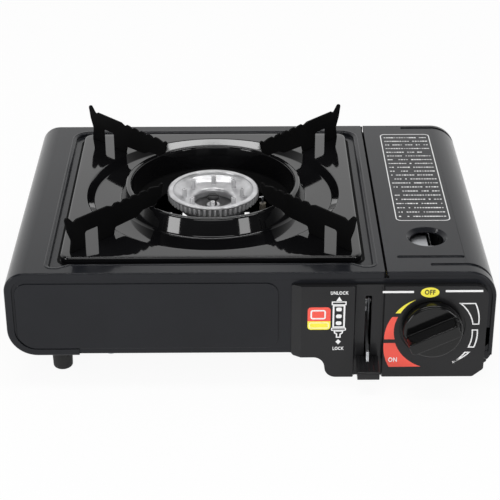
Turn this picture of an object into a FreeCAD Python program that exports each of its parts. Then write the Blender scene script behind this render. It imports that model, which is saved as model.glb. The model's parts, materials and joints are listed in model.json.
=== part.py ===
import FreeCAD, Part

import math
import os
from types import SimpleNamespace

import Sketcher

# Butane cassette stove, at real size in millimetres.
# X points right, Y points back and Z points up. The table is at Z = 0, and the origin is the
# centre of the stove's footprint.

# Driving dimensions
SIZES = {
    # Case
    "case_width": 345.0,
    "case_depth": 253.0,
    "case_front": 114.5,
    "case_top": 86.0,
    "burner_floor": 19.0,
    "gas_floor": 2.5,
    "sheet": 1.0,
    "base_sheet": 1.2,
    "seam": 0.3,
    "corner_top": 15.0,
    "corner_low": 21.0,
    "end_flange": 5.3,
    "casing_right": 93.5,
    "bottom_lip": 50.5,
    "step_x": 52.5,
    "step_lean": 2.0,
    "step_radius": 8.0,
    "chamfer_x": 158.6,
    "chamfer_run": 7.6,
    "chamfer_rise": 6.3,
    "panel_notch_height": 5.6,
    "partition_x": 70.0,
    "return_flange": 9.0,
    # Embossed field of the front panel
    "field_left": 165.3,
    "field_right": 19.5,
    "field_low": 24.6,
    "field_top": 77.2,
    "field_corner": 8.5,
    "field_low_corner": 14.0,
    "emboss": 1.0,
    # Recess, drip tray and its raised ring
    "burner_x": -27.8,
    "burner_y": 11.2,
    "recess_side": 227.0,
    "recess_depth": 3.0,
    "recess_corner": 10.0,
    "recess_front": 110.9,
    "ear_width": 13.5,
    "ear_flat": 6.0,
    "ear_reach": 4.5,
    "ear_corner": 3.0,
    "opening_radius": 99.0,
    "tray_side": 213.5,
    "tray_corner": 7.0,
    "tray_rise": 2.3,
    "tray_sheet": 0.8,
    "trough_radius": 94.4,
    "trough_slope": 6.0,
    "trough_depth": 5.9,
    "crest_radius": 65.8,
    "crest_rise": 9.0,
    "bead_radius": 2.8,
    "wall_lean": 2.6,
    "well_depth": 10.3,
    "well_hole": 45.0,
    # Pan-support blades
    "blade_sheet": 1.6,
    "blade_height": 24.4,
    "blade_outer": 141.0,
    "blade_inner": 51.5,
    "horn_height": 28.2,
    "horn_radius": 2.0,
    "leg_width": 14.2,
    "window_width": 12.4,
    "window_height": 12.0,
    "tooth_start": 100.5,
    "tooth_pitch": 8.4,
    "tooth_depth": 1.8,
    "tooth_count": 5,
    "crest_clearance": 0.4,
    # Burner
    "cap_radius": 34.65,
    "cap_top": 89.8,
    "cap_rim": 5.0,
    "rim_width": 4.0,
    "bowl_radius": 27.5,
    "bowl_drop": 5.4,
    "cap_hole": 15.0,
    "slot_count": 54,
    "slot_width": 1.7,
    "slot_height": 3.3,
    "slot_reach": 2.8,
    "post_count": 8,
    "post_circle": 22.0,
    "post_radius": 1.7,
    "post_bore": 0.9,
    "post_top": 89.9,
    "bridge_width": 9.0,
    "bridge_sheet": 2.0,
    "cup_bottom": 52.0,
    "cup_neck": 17.0,
    "cup_wall": 3.0,
    "cup_lip": 4.0,
    "cup_gap": 0.1,
    "boss_reach": 9.0,
    "screw_radius": 2.5,
    "screw_gap": 0.2,
    "screw_head": 4.5,
    "screw_head_height": 2.6,
    "shield_side": 130.0,
    "shield_top": 24.8,
    "bracket_width": 20.0,
    "bracket_sheet": 1.2,
    # Mixing tube, nozzle and regulator
    "tube_height": 62.0,
    "tube_y": -73.0,
    "tube_radius": 7.5,
    "tube_wall": 1.0,
    "tube_mouth_x": 96.0,
    "tube_corner_x": 40.0,
    "tube_bend": 30.0,
    "tube_seat": 19.0,
    "nozzle_radius": 4.5,
    "nozzle_tip": 2.5,
    "gas_x": 128.0,
    "gas_z": 44.0,
    "regulator_radius": 18.0,
    "regulator_front": -98.0,
    "regulator_back": -66.0,
    "regulator_leg": 4.5,
    "diaphragm_radius": 15.5,
    "diaphragm_height": 9.0,
    "diaphragm_drop": 4.0,
    "seat_width": 58.0,
    "seat_top": 80.0,
    "seat_hole": 14.0,
    "seat_sheet": 1.4,
    "tongue_width": 17.0,
    "tongue_reach": 18.0,
    "inlet_radius": 5.2,
    "inlet_wall": 3.8,
    "inlet_length": 8.0,
    "seal_height": 2.0,
    "seal_radius": 4.0,
    # Control panel and knob
    "fascia_proud": 4.0,
    "fascia_left": 28.8,
    "fascia_bevel": 6.7,
    "fascia_right": 166.2,
    "fascia_top": 76.7,
    "fascia_corner": 9.0,
    "channel_left": 73.8,
    "channel_right": 92.9,
    "channel_depth": 3.0,
    "lever_slot_width": 4.6,
    "lever_slot_low": 18.4,
    "lever_slot_top": 67.8,
    "knob_radius": 21.5,
    "knob_disc": 8.0,
    "knob_height": 19.7,
    "knob_gap": 0.3,
    "knob_turn": 25.8,
    "grip_length": 40.0,
    "grip_width": 10.5,
    "grip_draft": 0.8,
    "knob_well": 1.0,
    "shaft_radius": 4.0,
    "running_gap": 0.05,
    "cam_radius": 8.5,
    "cam_lobe": 13.0,
    "cam_sheet": 3.0,
    # Lever and cartridge carriage
    "lever_x": 82.8,
    "lever_sheet": 2.0,
    "pivot_y": -85.5,
    "pivot_z": 43.0,
    "pivot_radius": 2.5,
    "lever_lock": 32.0,
    "lever_unlock": 28.0,
    "drive_arm": 7.0,
    "drive_pin": 2.0,
    "drive_gap": 0.4,
    "arm_width": 6.4,
    "tip_width": 15.6,
    "tip_rib": 0.6,
    "bay_length": 186.0,
    "carriage_sheet": 1.2,
    "carriage_width": 20.0,
    "carriage_gap": 0.3,
    "pusher_width": 32.0,
    "pusher_top": 58.0,
    "rail_offset": 18.0,
    "rail_height": 11.1,
    "rail_width": 8.0,
    "rail_end_gap": 1.5,
    # Compartment cover and its hinges
    "cover_gap": 1.7,
    "cover_corner": 21.0,
    "cover_hem": 3.0,
    "cover_low": 17.5,
    "hinge_x": 169.8,
    "hinge_pin": 1.0,
    "hinge_length": 24.0,
    "knuckle_length": 6.0,
    "knuckle_gap": 0.3,
    "base_knuckle": 1.5,
    "cover_knuckle": 1.7,
    "hinge_front_y": -97.0,
    "hinge_back_y": 85.0,
    "sight_y": -61.5,
    "sight_radius": 12.0,
    "sight_dish": 15.7,
    "sight_drop": 2.8,
    "groove_width": 3.6,
    "groove_depth": 1.0,
    "groove_start": 126.5,
    "groove_end": 50.0,
    "front_groove_inset": 10.9,
    "back_groove_inset": 6.0,
    "short_groove_inset": 22.3,
    "short_groove_left": 103.8,
    "short_groove_right": 151.3,
    # Feet and screws
    "foot_radius": 7.5,
    "foot_inset": 36.0,
    "foot_end": 17.5,
    "short_foot_x": 140.0,
    "floor_screw": 1.6,
    "floor_screw_head": 3.4,
    "floor_screw_left": -100.0,
    "floor_screw_right": 30.0,
    # Igniter
    "piezo_side": 11.0,
    "piezo_low": 60.0,
    "piezo_top": 82.0,
    "plunger_radius": 2.5,
    "plunger_low": 56.2,
    "lead_radius": 1.2,
    "insulator_radius": 2.5,
    "insulator_low": 48.0,
    "insulator_top": 82.0,
    "electrode_radius": 0.8,
    "electrode_top": 87.5,
    "electrode_x": 37.8,
    "electrode_y": -9.4,
    "electrode_reach": 2.8,
}

# Route of the igniter lead, from the piezo unit through the partition to the electrode
LEAD_ROUTE = [
    (113.5, -106.7, 75.0),
    (100.0, -106.7, 75.0),
    (82.0, -103.0, 74.5),
    (60.0, -103.0, 74.5),
    (50.0, -62.0, 75.0),
    (40.0, -42.0, 50.0),
    (24.0, -22.0, 29.6),
    (14.0, -5.0, 29.0),
    (10.0, 1.8, 36.9),
    (10.0, 1.8, 48.0),
]
LEAD_SIDES = 8


class Size:
    """A length or an angle that carries its value and the sheet formula behind it."""

    def __init__(self, value, text):
        self.value = value
        self.text = text

    def __float__(self):
        return float(self.value)

    def __add__(self, other):
        return joined(self, "+", other, float(self) + float(other))

    def __radd__(self, other):
        return joined(other, "+", self, float(other) + float(self))

    def __sub__(self, other):
        return joined(self, "-", other, float(self) - float(other))

    def __rsub__(self, other):
        return joined(other, "-", self, float(other) - float(self))

    def __mul__(self, other):
        return joined(self, "*", other, float(self) * float(other))

    def __rmul__(self, other):
        return joined(other, "*", self, float(other) * float(self))

    def __truediv__(self, other):
        return joined(self, "/", other, float(self) / float(other))

    def __rtruediv__(self, other):
        return joined(other, "/", self, float(other) / float(self))

    def __neg__(self):
        return Size(-float(self), f"(0 - {self.text})")


def joined(left, sign, right, value):
    """The result of one step of arithmetic, with its formula."""
    return Size(value, f"({text_of(left)} {sign} {text_of(right)})")


def text_of(number):
    """A size's formula, or a plain number as text."""
    return number.text if isinstance(number, Size) else f"{float(number):.9f}"


doc = FreeCAD.newDocument("cassette_stove")
sheet = doc.addObject("Spreadsheet::Sheet", "sizes")
for row, (alias, number) in enumerate(SIZES.items(), start=1):
    sheet.set(f"A{row}", alias)
    sheet.set(f"B{row}", str(number))
    sheet.setAlias(f"B{row}", alias)
doc.recompute()
S = SimpleNamespace(**{alias: Size(number, f"sizes.{alias}") for alias, number in SIZES.items()})

# Limits that several pieces share
LEFT = -S.case_width / 2
RIGHT = S.case_width / 2
FRONT = -S.case_front
BACK = S.case_depth - S.case_front
PANEL_FRONT = FRONT + S.sheet + S.seam
PANEL_BACK = PANEL_FRONT + S.sheet
REAR_BACK = BACK - S.sheet - S.seam
REAR_FRONT = REAR_BACK - S.sheet
BASE_LOW = S.burner_floor + S.sheet
BASE_TOP = BASE_LOW + S.base_sheet
GAS_TOP = S.gas_floor + S.base_sheet
LEDGE_TOP = S.case_top - S.recess_depth
TRAY_TOP = S.case_top + S.tray_rise
TRAY_UNDER = TRAY_TOP - S.tray_sheet
FASCIA_FRONT = FRONT - S.fascia_proud
COVER_LEFT = S.casing_right + S.cover_gap
CAP_LOW = S.cap_top - S.cap_rim
BRIDGE_LOW = CAP_LOW - S.bowl_drop
PIVOT_RIGHT = S.lever_x + S.lever_sheet / 2
PUSHER_FRONT = S.regulator_back + S.seat_sheet + S.bay_length


def put(thing, name, size):
    """Set one property, tied to the sheet where its size comes from there."""
    setattr(thing, name, float(size))
    if isinstance(size, Size):
        thing.setExpression(name, size.text)


def place(thing, x=0.0, y=0.0, z=0.0, turn=None):
    """Give a sub-part its place, tied to the sheet."""
    rotation = turn if turn is not None else FreeCAD.Rotation()
    thing.Placement = FreeCAD.Placement(FreeCAD.Vector(float(x), float(y), float(z)), rotation)
    for letter, size in (("x", x), ("y", y), ("z", z)):
        if isinstance(size, Size):
            thing.setExpression(f"Placement.Base.{letter}", size.text)


def new_body(label):
    """A sub-part of its own."""
    body = doc.addObject("PartDesign::Body", label)
    body.Label = label
    return body


def new_sketch(body, name, plane, level=0.0):
    """A sketch on one of the body's own planes, moved along its axis to a level."""
    planes = {item.Role: item for item in body.Origin.OriginFeatures}
    sketch = body.newObject("Sketcher::SketchObject", name)
    sketch.AttachmentSupport = [(planes[plane + "_Plane"], "")]
    sketch.MapMode = "FlatFace"
    shift = -level if plane == "XZ" else level
    offset = FreeCAD.Vector(0, 0, float(shift))
    sketch.AttachmentOffset = FreeCAD.Placement(offset, FreeCAD.Rotation())
    if isinstance(shift, Size):
        sketch.setExpression("AttachmentOffset.Base.z", shift.text)
    return sketch


def at_point(edge, end, point):
    """Rules that hold an end of an edge at its place from the origin."""
    return [(Sketcher.Constraint(kind, -1, 1, edge, end, float(size)), size)
            for kind, size in zip(("DistanceX", "DistanceY"), point)]


def of_radius(edge, radius):
    """The rule for the radius of an arc or a circle."""
    return [(Sketcher.Constraint("Radius", edge, float(radius)), radius)]


def joins(edge, end, other, other_end, kind="Coincident"):
    """The rule that joins two ends."""
    return [(Sketcher.Constraint(kind, edge, end, other, other_end), None)]


def apply_rules(sketch, rules):
    """Add rules to a sketch, each tied to the sheet where its size comes from there."""
    numbers = sketch.addConstraint([rule for rule, _ in rules])
    for number, (_, size) in zip(numbers, rules):
        if isinstance(size, Size):
            sketch.setExpression(f"Constraints[{number}]", size.text)


def draw_outline(sketch, corners):
    """Draw a closed outline; each corner is (u, v) or (u, v, radius)."""
    corners = [corner if len(corner) == 3 else (*corner, 0.0) for corner in corners]
    count = len(corners)
    flat = [flat_point(corner) for corner in corners]
    sides = [flat[(i + 1) % count] - flat[i] for i in range(count)]
    ways = [FreeCAD.Vector(side).normalize() for side in sides]
    starts, ends, reaches = [], [], []
    for i, (u, v, radius) in enumerate(corners):
        reach = radius * math.tan(ways[i - 1].getAngle(ways[i]) / 2)
        reaches.append(float(reach))
        ends.append((u - reach * ways[i - 1].x, v - reach * ways[i - 1].y))
        starts.append((u + reach * ways[i].x, v + reach * ways[i].y))
    for i, side in enumerate(sides):
        if reaches[i] + reaches[(i + 1) % count] > side.Length:
            raise ValueError(f"{sketch.Name}: no room for the bends beside corner {i}")
    first = len(sketch.Geometry)
    edges = [Part.LineSegment(flat_point(starts[i]), flat_point(ends[(i + 1) % count]))
             for i in range(count)]
    rules = []
    for i, (u, v, radius) in enumerate(corners):
        line, before_line = first + i, first + (i - 1) % count
        rules += at_point(line, 1, starts[i])
        if reaches[i] == 0.0:
            rules += joins(before_line, 2, line, 1)
            continue
        rules += at_point(before_line, 2, ends[i])
        before, after = flat_point(ends[i]), flat_point(starts[i])
        inward = (ways[i] - ways[i - 1]).normalize()
        turn = ways[i - 1].getAngle(ways[i])
        bulge = flat[i] + inward * float(radius) * (1 / math.cos(turn / 2) - 1)
        arc = first + len(edges)
        edges.append(Part.Arc(before, bulge, after))
        turns_left = ways[i - 1].cross(ways[i]).z > 0
        rules += joins(before_line, 2, arc, 1 if turns_left else 2)
        rules += joins(line, 1, arc, 2 if turns_left else 1)
        rules += of_radius(arc, radius)
    sketch.addGeometry(edges, False)
    apply_rules(sketch, rules)


def flat_point(point):
    """A sketch point as a vector."""
    return FreeCAD.Vector(float(point[0]), float(point[1]), 0)


def draw_circle(sketch, u, v, radius):
    """Draw a circle about a centre."""
    circle = Part.Circle(flat_point((u, v)), FreeCAD.Vector(0, 0, 1), float(radius))
    edge = sketch.addGeometry(circle, False)
    apply_rules(sketch, at_point(edge, 3, (u, v)) + of_radius(edge, radius))


def box(u0, u1, v0, v1, radius=0.0):
    """A rectangle as an outline, with one radius at all its corners."""
    return [(u0, v0, radius), (u1, v0, radius), (u1, v1, radius), (u0, v1, radius)]


def draw(sketch, shapes):
    """Draw outlines, and circles given as ("circle", u, v, radius)."""
    for shape in shapes:
        if shape[0] == "circle":
            draw_circle(sketch, *shape[1:])
        else:
            draw_outline(sketch, shape)


def settle(body, feature, before, adds):
    """Recompute, and stop if a feature failed or changed nothing."""
    doc.recompute()
    if feature.Shape.isNull() or "Invalid" in feature.State:
        raise RuntimeError(f"{body.Label}: {feature.Name} failed")
    change = feature.Shape.Volume - before
    if (change < 1e-4) if adds else (change > -1e-4):
        raise RuntimeError(f"{body.Label}: {feature.Name} changed nothing")
    return feature


def volume_of(body):
    """The body's volume so far."""
    return body.Tip.Shape.Volume if body.Tip is not None else 0.0


def prism(body, kind, name, plane, start, end, *shapes):
    """Pad or pocket shapes from start to end along the axis square to their plane."""
    before = volume_of(body)
    sketch = new_sketch(body, f"{name}_sketch", plane, start)
    draw(sketch, shapes)
    feature = body.newObject("PartDesign::" + kind, name)
    feature.Profile = sketch
    feature.Reversed = (plane == "XZ") == (kind == "Pad")
    put(feature, "Length", end - start)
    return settle(body, feature, before, kind == "Pad")


def pad(body, name, plane, start, end, *shapes):
    """Add material."""
    return prism(body, "Pad", name, plane, start, end, *shapes)


def pocket(body, name, plane, start, end, *shapes):
    """Cut material."""
    return prism(body, "Pocket", name, plane, start, end, *shapes)


def revolve(body, name, outline, kind="Revolution"):
    """Turn an outline of (radius, height) corners about the body's Z axis."""
    before = volume_of(body)
    sketch = new_sketch(body, f"{name}_sketch", "XZ")
    draw(sketch, [outline])
    feature = body.newObject("PartDesign::" + kind, name)
    feature.Profile = sketch
    feature.ReferenceAxis = (sketch, ["V_Axis"])
    feature.Angle = 360.0
    return settle(body, feature, before, kind == "Revolution")


def ring_of(body, name, features, count):
    """Repeat features evenly about the body's Z axis."""
    before = volume_of(body)
    adds = features[0].TypeId == "PartDesign::Pad"
    pattern = body.newObject("PartDesign::PolarPattern", name)
    pattern.Originals = features
    axes = {item.Role: item for item in body.Origin.OriginFeatures}
    pattern.Axis = (axes["Z_Axis"], [""])
    pattern.Angle = 360.0
    pattern.Occurrences = int(float(count))
    pattern.setExpression("Occurrences", text_of(count))
    body.Tip = pattern
    return settle(body, pattern, before, adds)


def row_of(body, name, feature, axis, length, count):
    """Repeat a feature along one of the body's axes."""
    before = volume_of(body)
    pattern = body.newObject("PartDesign::LinearPattern", name)
    pattern.Originals = [feature]
    axes = {item.Role: item for item in body.Origin.OriginFeatures}
    pattern.Direction = (axes[axis + "_Axis"], [""])
    put(pattern, "Length", length)
    pattern.Occurrences = count
    body.Tip = pattern
    return settle(body, pattern, before, False)


def rod(label, axis, start, end, across, radius):
    """A round bar along an axis; across holds its two other coordinates in X, Y, Z order."""
    bar = doc.addObject("Part::Cylinder", label)
    bar.Label = label
    put(bar, "Radius", radius)
    put(bar, "Height", end - start)
    first, second = across
    if axis == "X":
        turn = FreeCAD.Rotation(FreeCAD.Vector(0, 1, 0), 90)
        place(bar, start, first, second, turn)
    elif axis == "Y":
        turn = FreeCAD.Rotation(FreeCAD.Vector(1, 0, 0), -90)
        place(bar, first, start, second, turn)
    else:
        place(bar, first, second, start)
    return bar


def block(label, x0, x1, y0, y1, z0, z1):
    """A plain block between two corners."""
    solid = doc.addObject("Part::Box", label)
    solid.Label = label
    put(solid, "Length", x1 - x0)
    put(solid, "Width", y1 - y0)
    put(solid, "Height", z1 - z0)
    place(solid, x0, y0, z0)
    return solid


def fused(label, *pieces):
    """Pieces made one."""
    whole = doc.addObject("Part::MultiFuse", label)
    whole.Label = label
    whole.Shapes = list(pieces)
    return whole


def cut(label, base, tool):
    """One piece less another."""
    rest = doc.addObject("Part::Cut", label)
    rest.Label = label
    rest.Base = base
    rest.Tool = tool
    return rest


def grouped(label, *pieces):
    """Separate solids kept as one sub-part."""
    group = doc.addObject("Part::Compound", label)
    group.Label = label
    group.Links = list(pieces)
    return group


def strip_outline(path, thickness):
    """The outline of a bent strip: a path of (u, v, bend radius) and its copy one thickness inside.

    The strip lies to the right of the path. A bend radius is that of the path itself.
    """
    points = [FreeCAD.Vector(float(u), float(v), 0) for u, v, _ in path]
    ways = [(b - a).normalize() for a, b in zip(points, points[1:])]
    sides = [FreeCAD.Vector(way.y, -way.x, 0) for way in ways]
    wall = float(thickness)
    inner = []
    for i, (_, _, radius) in enumerate(path):
        before = sides[max(i - 1, 0)]
        after = sides[min(i, len(sides) - 1)]
        shift = (before + after) * (wall / (1 + before.dot(after)))
        spot = points[i] + shift
        bend = float(radius)
        if bend > 0:
            right_turn = ways[i - 1].cross(ways[i]).z < 0
            bend = max(bend - wall, 0.2) if right_turn else bend + wall
        inner.append((spot.x, spot.y, bend))
    return list(path) + inner[::-1]


# Ends of the case
def end_outline():
    """The outline that the front and rear panels share."""
    inset = S.sheet + S.seam
    edge_x = RIGHT - inset
    return [
        (LEFT + inset, S.case_top - inset, S.corner_top - inset),
        (LEFT + inset, BASE_LOW, S.corner_low - inset),
        (S.step_x - S.step_lean / 2, BASE_LOW, S.step_radius),
        (S.step_x + S.step_lean / 2, S.gas_floor, S.step_radius),
        (S.chamfer_x, S.gas_floor),
        (S.chamfer_x + S.chamfer_run, S.gas_floor + S.chamfer_rise),
        (S.chamfer_x + S.chamfer_run, S.cover_low + S.end_flange),
        (edge_x, S.cover_low + 2 * S.end_flange),
        (edge_x, S.case_top - inset, S.cover_corner - inset),
    ]


def notch_for_top_edges(body, start, end):
    """Clear the folded edges of the casing and the cover where they meet."""
    low = S.case_top - S.panel_notch_height
    left = S.casing_right - S.sheet - S.seam
    right = COVER_LEFT + S.sheet + S.seam
    pocket(body, "edge_notch", "XZ", start, end, box(left, right, low, S.case_top))


def make_burner_casing():
    """Top, left side and bottom lip of the case, folded from one sheet."""
    body = new_body("burner_casing")
    low, lip = S.burner_floor, LEFT + S.bottom_lip
    wall, flange = S.sheet, S.end_flange
    over = S.sheet
    pad(body, "wrap", "XZ", FRONT, BACK, [
        (LEFT, S.case_top, S.corner_top),
        (LEFT, low, S.corner_low),
        (S.casing_right, low),
        (S.casing_right, S.case_top),
    ])
    pocket(body, "inside", "XZ", FRONT + wall, BACK - wall, [
        (LEFT + wall, S.case_top - wall, S.corner_top - wall),
        (LEFT + wall, low + wall, S.corner_low - wall),
        (S.casing_right - wall, low + wall),
        (S.casing_right - wall, S.case_top - wall),
    ])
    pocket(body, "mouth", "XZ", FRONT - over, BACK + over, [
        (LEFT + flange, S.case_top - flange, S.corner_top - flange),
        (LEFT + flange, low + flange, S.corner_low - flange),
        (lip, low + flange),
        (lip, low - over),
        (S.casing_right + over, low - over),
        (S.casing_right + over, S.case_top - flange),
    ])
    pad(body, "recess_tub", "XY", LEDGE_TOP - wall, S.case_top - wall / 2, recess_outline(wall))
    pocket(body, "recess", "XY", LEDGE_TOP, S.case_top + over, recess_outline(0.0))
    pocket(body, "tray_opening", "XY", LEDGE_TOP - wall - over, S.case_top + over,
           ("circle", S.burner_x, S.burner_y, S.opening_radius))
    return body


def recess_outline(grow):
    """The recess for the drip tray, grown outwards: square, with an ear at each front corner."""
    left = S.burner_x - S.recess_side / 2 - grow
    right = S.burner_x + S.recess_side / 2 + grow
    back = S.burner_y + S.recess_side / 2 + grow
    front = S.burner_y - S.recess_front - grow
    ear = front - S.ear_reach
    slope = math.atan2(float(S.ear_reach), float(S.ear_width - S.ear_flat))
    shift = grow * math.tan(slope / 2)
    flat, step = S.ear_flat + grow - shift, S.ear_width + grow - shift
    tight, wide = S.ear_corner + grow, S.recess_corner + grow
    return [
        (left, ear, tight),
        (left + flat, ear, tight),
        (left + step, front, S.ear_corner),
        (right - step, front, S.ear_corner),
        (right - flat, ear, tight),
        (right, ear, tight),
        (right, back, wide),
        (left, back, wide),
    ]


def make_front_panel():
    """Front wall: an embossed field on the left, and the lever and shaft holes."""
    body = new_body("front_panel")
    pad(body, "wall", "XZ", PANEL_FRONT, PANEL_BACK, end_outline())
    wall = S.sheet
    pad(body, "field", "XZ", PANEL_FRONT - S.emboss, PANEL_FRONT, field_outline(0.0))
    pocket(body, "field_back", "XZ", PANEL_FRONT - S.emboss + wall, PANEL_BACK,
           field_outline(wall))
    notch_for_top_edges(body, PANEL_FRONT, PANEL_BACK)
    slack = 1.5
    half_slot = S.lever_slot_width / 2 + slack
    pocket(body, "lever_opening", "XZ", PANEL_FRONT, PANEL_BACK,
           box(S.lever_x - half_slot, S.lever_x + half_slot, S.lever_slot_low - slack,
               S.lever_slot_top + slack))
    pocket(body, "shaft_opening", "XZ", PANEL_FRONT, PANEL_BACK,
           ("circle", S.gas_x, S.gas_z, 2 * S.shaft_radius))
    return_flange(body, PANEL_BACK, PANEL_BACK + S.return_flange)
    return body


def field_outline(inset):
    """The front panel's embossed field, with a larger corner where the casing's is large."""
    left, right = inset - S.field_left, S.field_right - inset
    low, top = S.field_low + inset, S.field_top - inset
    corner = S.field_corner - inset
    return [
        (left, low, S.field_low_corner - inset),
        (right, low, corner),
        (right, top, corner),
        (left, top, corner),
    ]


def return_flange(body, start, end):
    """The panel's foot, folded inwards and screwed to the base."""
    left = LEFT + S.corner_low + S.end_flange
    right = S.step_x - 2 * S.step_radius
    pad(body, "return_flange", "XY", BASE_TOP, BASE_TOP + S.sheet, box(left, right, start, end))
    middle = (start + end) / 2
    pocket(body, "screw_holes", "XY", BASE_TOP - S.sheet, BASE_TOP + 2 * S.sheet,
           ("circle", S.floor_screw_left, middle, S.floor_screw + S.running_gap),
           ("circle", S.floor_screw_right, middle, S.floor_screw + S.running_gap))


def make_rear_panel():
    """Rear wall with a row of air slots behind the burner."""
    body = new_body("rear_panel")
    pad(body, "wall", "XZ", REAR_FRONT, REAR_BACK, end_outline())
    notch_for_top_edges(body, REAR_FRONT, REAR_BACK)
    slot_low, slot_high, slot_wide, pitch, count = 46.0, 62.0, 4.0, 12.0, 9
    first = S.burner_x - pitch * (count - 1) / 2
    slot = pocket(body, "air_slot", "XZ", REAR_FRONT, REAR_BACK,
                  box(first - slot_wide / 2, first + slot_wide / 2, slot_low, slot_high))
    row_of(body, "air_slots", slot, "X", pitch * (count - 1), count)
    return_flange(body, REAR_FRONT - S.return_flange, REAR_FRONT)
    return body


def make_base_tray():
    """Floor of both compartments, stepped down on the gas side, with the fixed knuckles."""
    body = new_body("base_tray")
    start = LEFT + S.corner_low + S.sheet
    step_left = S.step_x - S.step_lean / 2
    step_right = S.step_x + S.step_lean / 2
    slope = S.chamfer_rise / S.chamfer_run
    end = S.hinge_x - S.base_knuckle + S.sheet
    path = [
        (end, S.gas_floor + (end - S.chamfer_x) * slope, 0.0),
        (S.chamfer_x, S.gas_floor, 1.5),
        (step_right, S.gas_floor, S.step_radius),
        (step_left, BASE_LOW, S.step_radius),
        (start, BASE_LOW, 0.0),
    ]
    pad(body, "floor", "XZ", PANEL_BACK, REAR_FRONT, strip_outline(path, S.base_sheet))
    leaf = S.sheet
    leaf_left = S.hinge_x - S.base_knuckle
    leaf_low = S.gas_floor + (leaf_left - S.chamfer_x) * slope + S.base_sheet / 2
    over = 1.0
    for side, first_y in (("front", S.hinge_front_y), ("back", S.hinge_back_y)):
        spans = ((first_y, first_y + S.knuckle_length),
                 (first_y + S.hinge_length - S.knuckle_length, first_y + S.hinge_length))
        for number, (near_y, far_y) in enumerate(spans, start=1):
            pad(body, f"{side}_leaf_{number}", "XZ", near_y, far_y,
                box(leaf_left, leaf_left + leaf, leaf_low, S.cover_low))
            pad(body, f"{side}_knuckle_{number}", "XZ", near_y, far_y,
                ("circle", S.hinge_x, S.cover_low, S.base_knuckle))
        pocket(body, f"{side}_pin_bore", "XZ", first_y - over, first_y + S.hinge_length + over,
               ("circle", S.hinge_x, S.cover_low, S.hinge_pin + S.running_gap / 2))
    flange_middles = (PANEL_BACK + S.return_flange / 2, REAR_FRONT - S.return_flange / 2)
    pocket(body, "screw_holes", "XY", BASE_LOW - over, BASE_TOP + over, *[
        ("circle", x, y, S.floor_screw + S.running_gap)
        for x in (S.floor_screw_left, S.floor_screw_right) for y in flange_middles])
    slot_wide, slot_long, pitch, count, row_offset = 4.0, 34.0, 13.0, 9, 80.0
    first = S.burner_x - pitch * (count - 1) / 2
    slots = [box(first - slot_wide / 2, first + slot_wide / 2, middle - slot_long / 2,
                 middle + slot_long / 2)
             for middle in (S.burner_y - row_offset, S.burner_y + row_offset)]
    slot = pocket(body, "air_slot", "XY", BASE_LOW - over, BASE_TOP + over, *slots)
    row_of(body, "air_slots", slot, "X", pitch * (count - 1), count)
    return body


def make_partition_wall():
    """Wall between the burner and gas compartments, with a folded top."""
    body = new_body("partition_wall")
    right = S.partition_x + S.sheet
    top = LEDGE_TOP - S.sheet
    pad(body, "wall", "YZ", S.partition_x, right, box(PANEL_BACK, REAR_FRONT, GAS_TOP, top))
    fold, tube_slack, over = 6.0, 1.5, 1.0
    pad(body, "top_fold", "XY", top - S.sheet, top,
        box(S.partition_x, right + fold, PANEL_BACK, REAR_FRONT))
    grommet = LEAD_ROUTE[3]
    pocket(body, "openings", "YZ", S.partition_x - over, right + over,
           ("circle", S.tube_y, S.tube_height, S.tube_radius + tube_slack),
           ("circle", grommet[1], grommet[2], 2.6 * S.lead_radius))
    return body


def make_control_panel():
    """Moulded fascia: lever channel and slot, shaft hole, stepped lower edge."""
    body = new_body("control_panel")
    pad(body, "plate", "XZ", FASCIA_FRONT, PANEL_FRONT, [
        (S.fascia_left, S.fascia_top, 2.0),
        (S.fascia_left, S.burner_floor, 2.0),
        (S.step_x - S.step_lean / 2, S.burner_floor, S.step_radius),
        (S.step_x + S.step_lean / 2, S.gas_floor, S.step_radius),
        (S.chamfer_x, S.gas_floor, 3.0),
        (S.fascia_right, S.gas_floor + S.chamfer_rise, 3.0),
        (S.fascia_right, S.fascia_top, S.fascia_corner),
    ])
    bevel_right = S.fascia_left + S.fascia_bevel
    over = 1.0
    pocket(body, "left_bevel", "XY", S.gas_floor - over, S.fascia_top + over, [
        (S.fascia_left - over, PANEL_FRONT - over),
        (S.fascia_left, PANEL_FRONT - over),
        (bevel_right, FASCIA_FRONT),
        (bevel_right, FASCIA_FRONT - over),
        (S.fascia_left - over, FASCIA_FRONT - over),
    ])
    pocket(body, "lever_channel", "XY", S.gas_floor - over, S.fascia_top + over, [
        (S.channel_left - over, FASCIA_FRONT - over),
        (S.channel_left - over, FASCIA_FRONT),
        (S.channel_left, FASCIA_FRONT + S.channel_depth, 1.0),
        (S.channel_right, FASCIA_FRONT + S.channel_depth, 1.0),
        (S.channel_right + over, FASCIA_FRONT),
        (S.channel_right + over, FASCIA_FRONT - over),
    ])
    half_slot = S.lever_slot_width / 2
    pocket(body, "lever_slot", "XZ", FASCIA_FRONT, PANEL_FRONT,
           box(S.lever_x - half_slot, S.lever_x + half_slot, S.lever_slot_low, S.lever_slot_top,
               1.0))
    pocket(body, "knob_well", "XZ", FASCIA_FRONT, FASCIA_FRONT + S.knob_well,
           ("circle", S.gas_x, S.gas_z, S.knob_radius + 1.8))
    pocket(body, "shaft_hole", "XZ", FASCIA_FRONT, PANEL_FRONT,
           ("circle", S.gas_x, S.gas_z, S.shaft_radius + 2))
    return body


def make_foot(label, x, y, height):
    """A moulded foot, a little narrower at the table."""
    body = new_body(label)
    edge, draft = 1.2, 0.5
    revolve(body, "turned", [
        (0.0, 0.0),
        (S.foot_radius - draft - edge, 0.0),
        (S.foot_radius - draft, edge),
        (S.foot_radius, height),
        (0.0, height),
    ])
    place(body, x, y)
    return body


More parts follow.
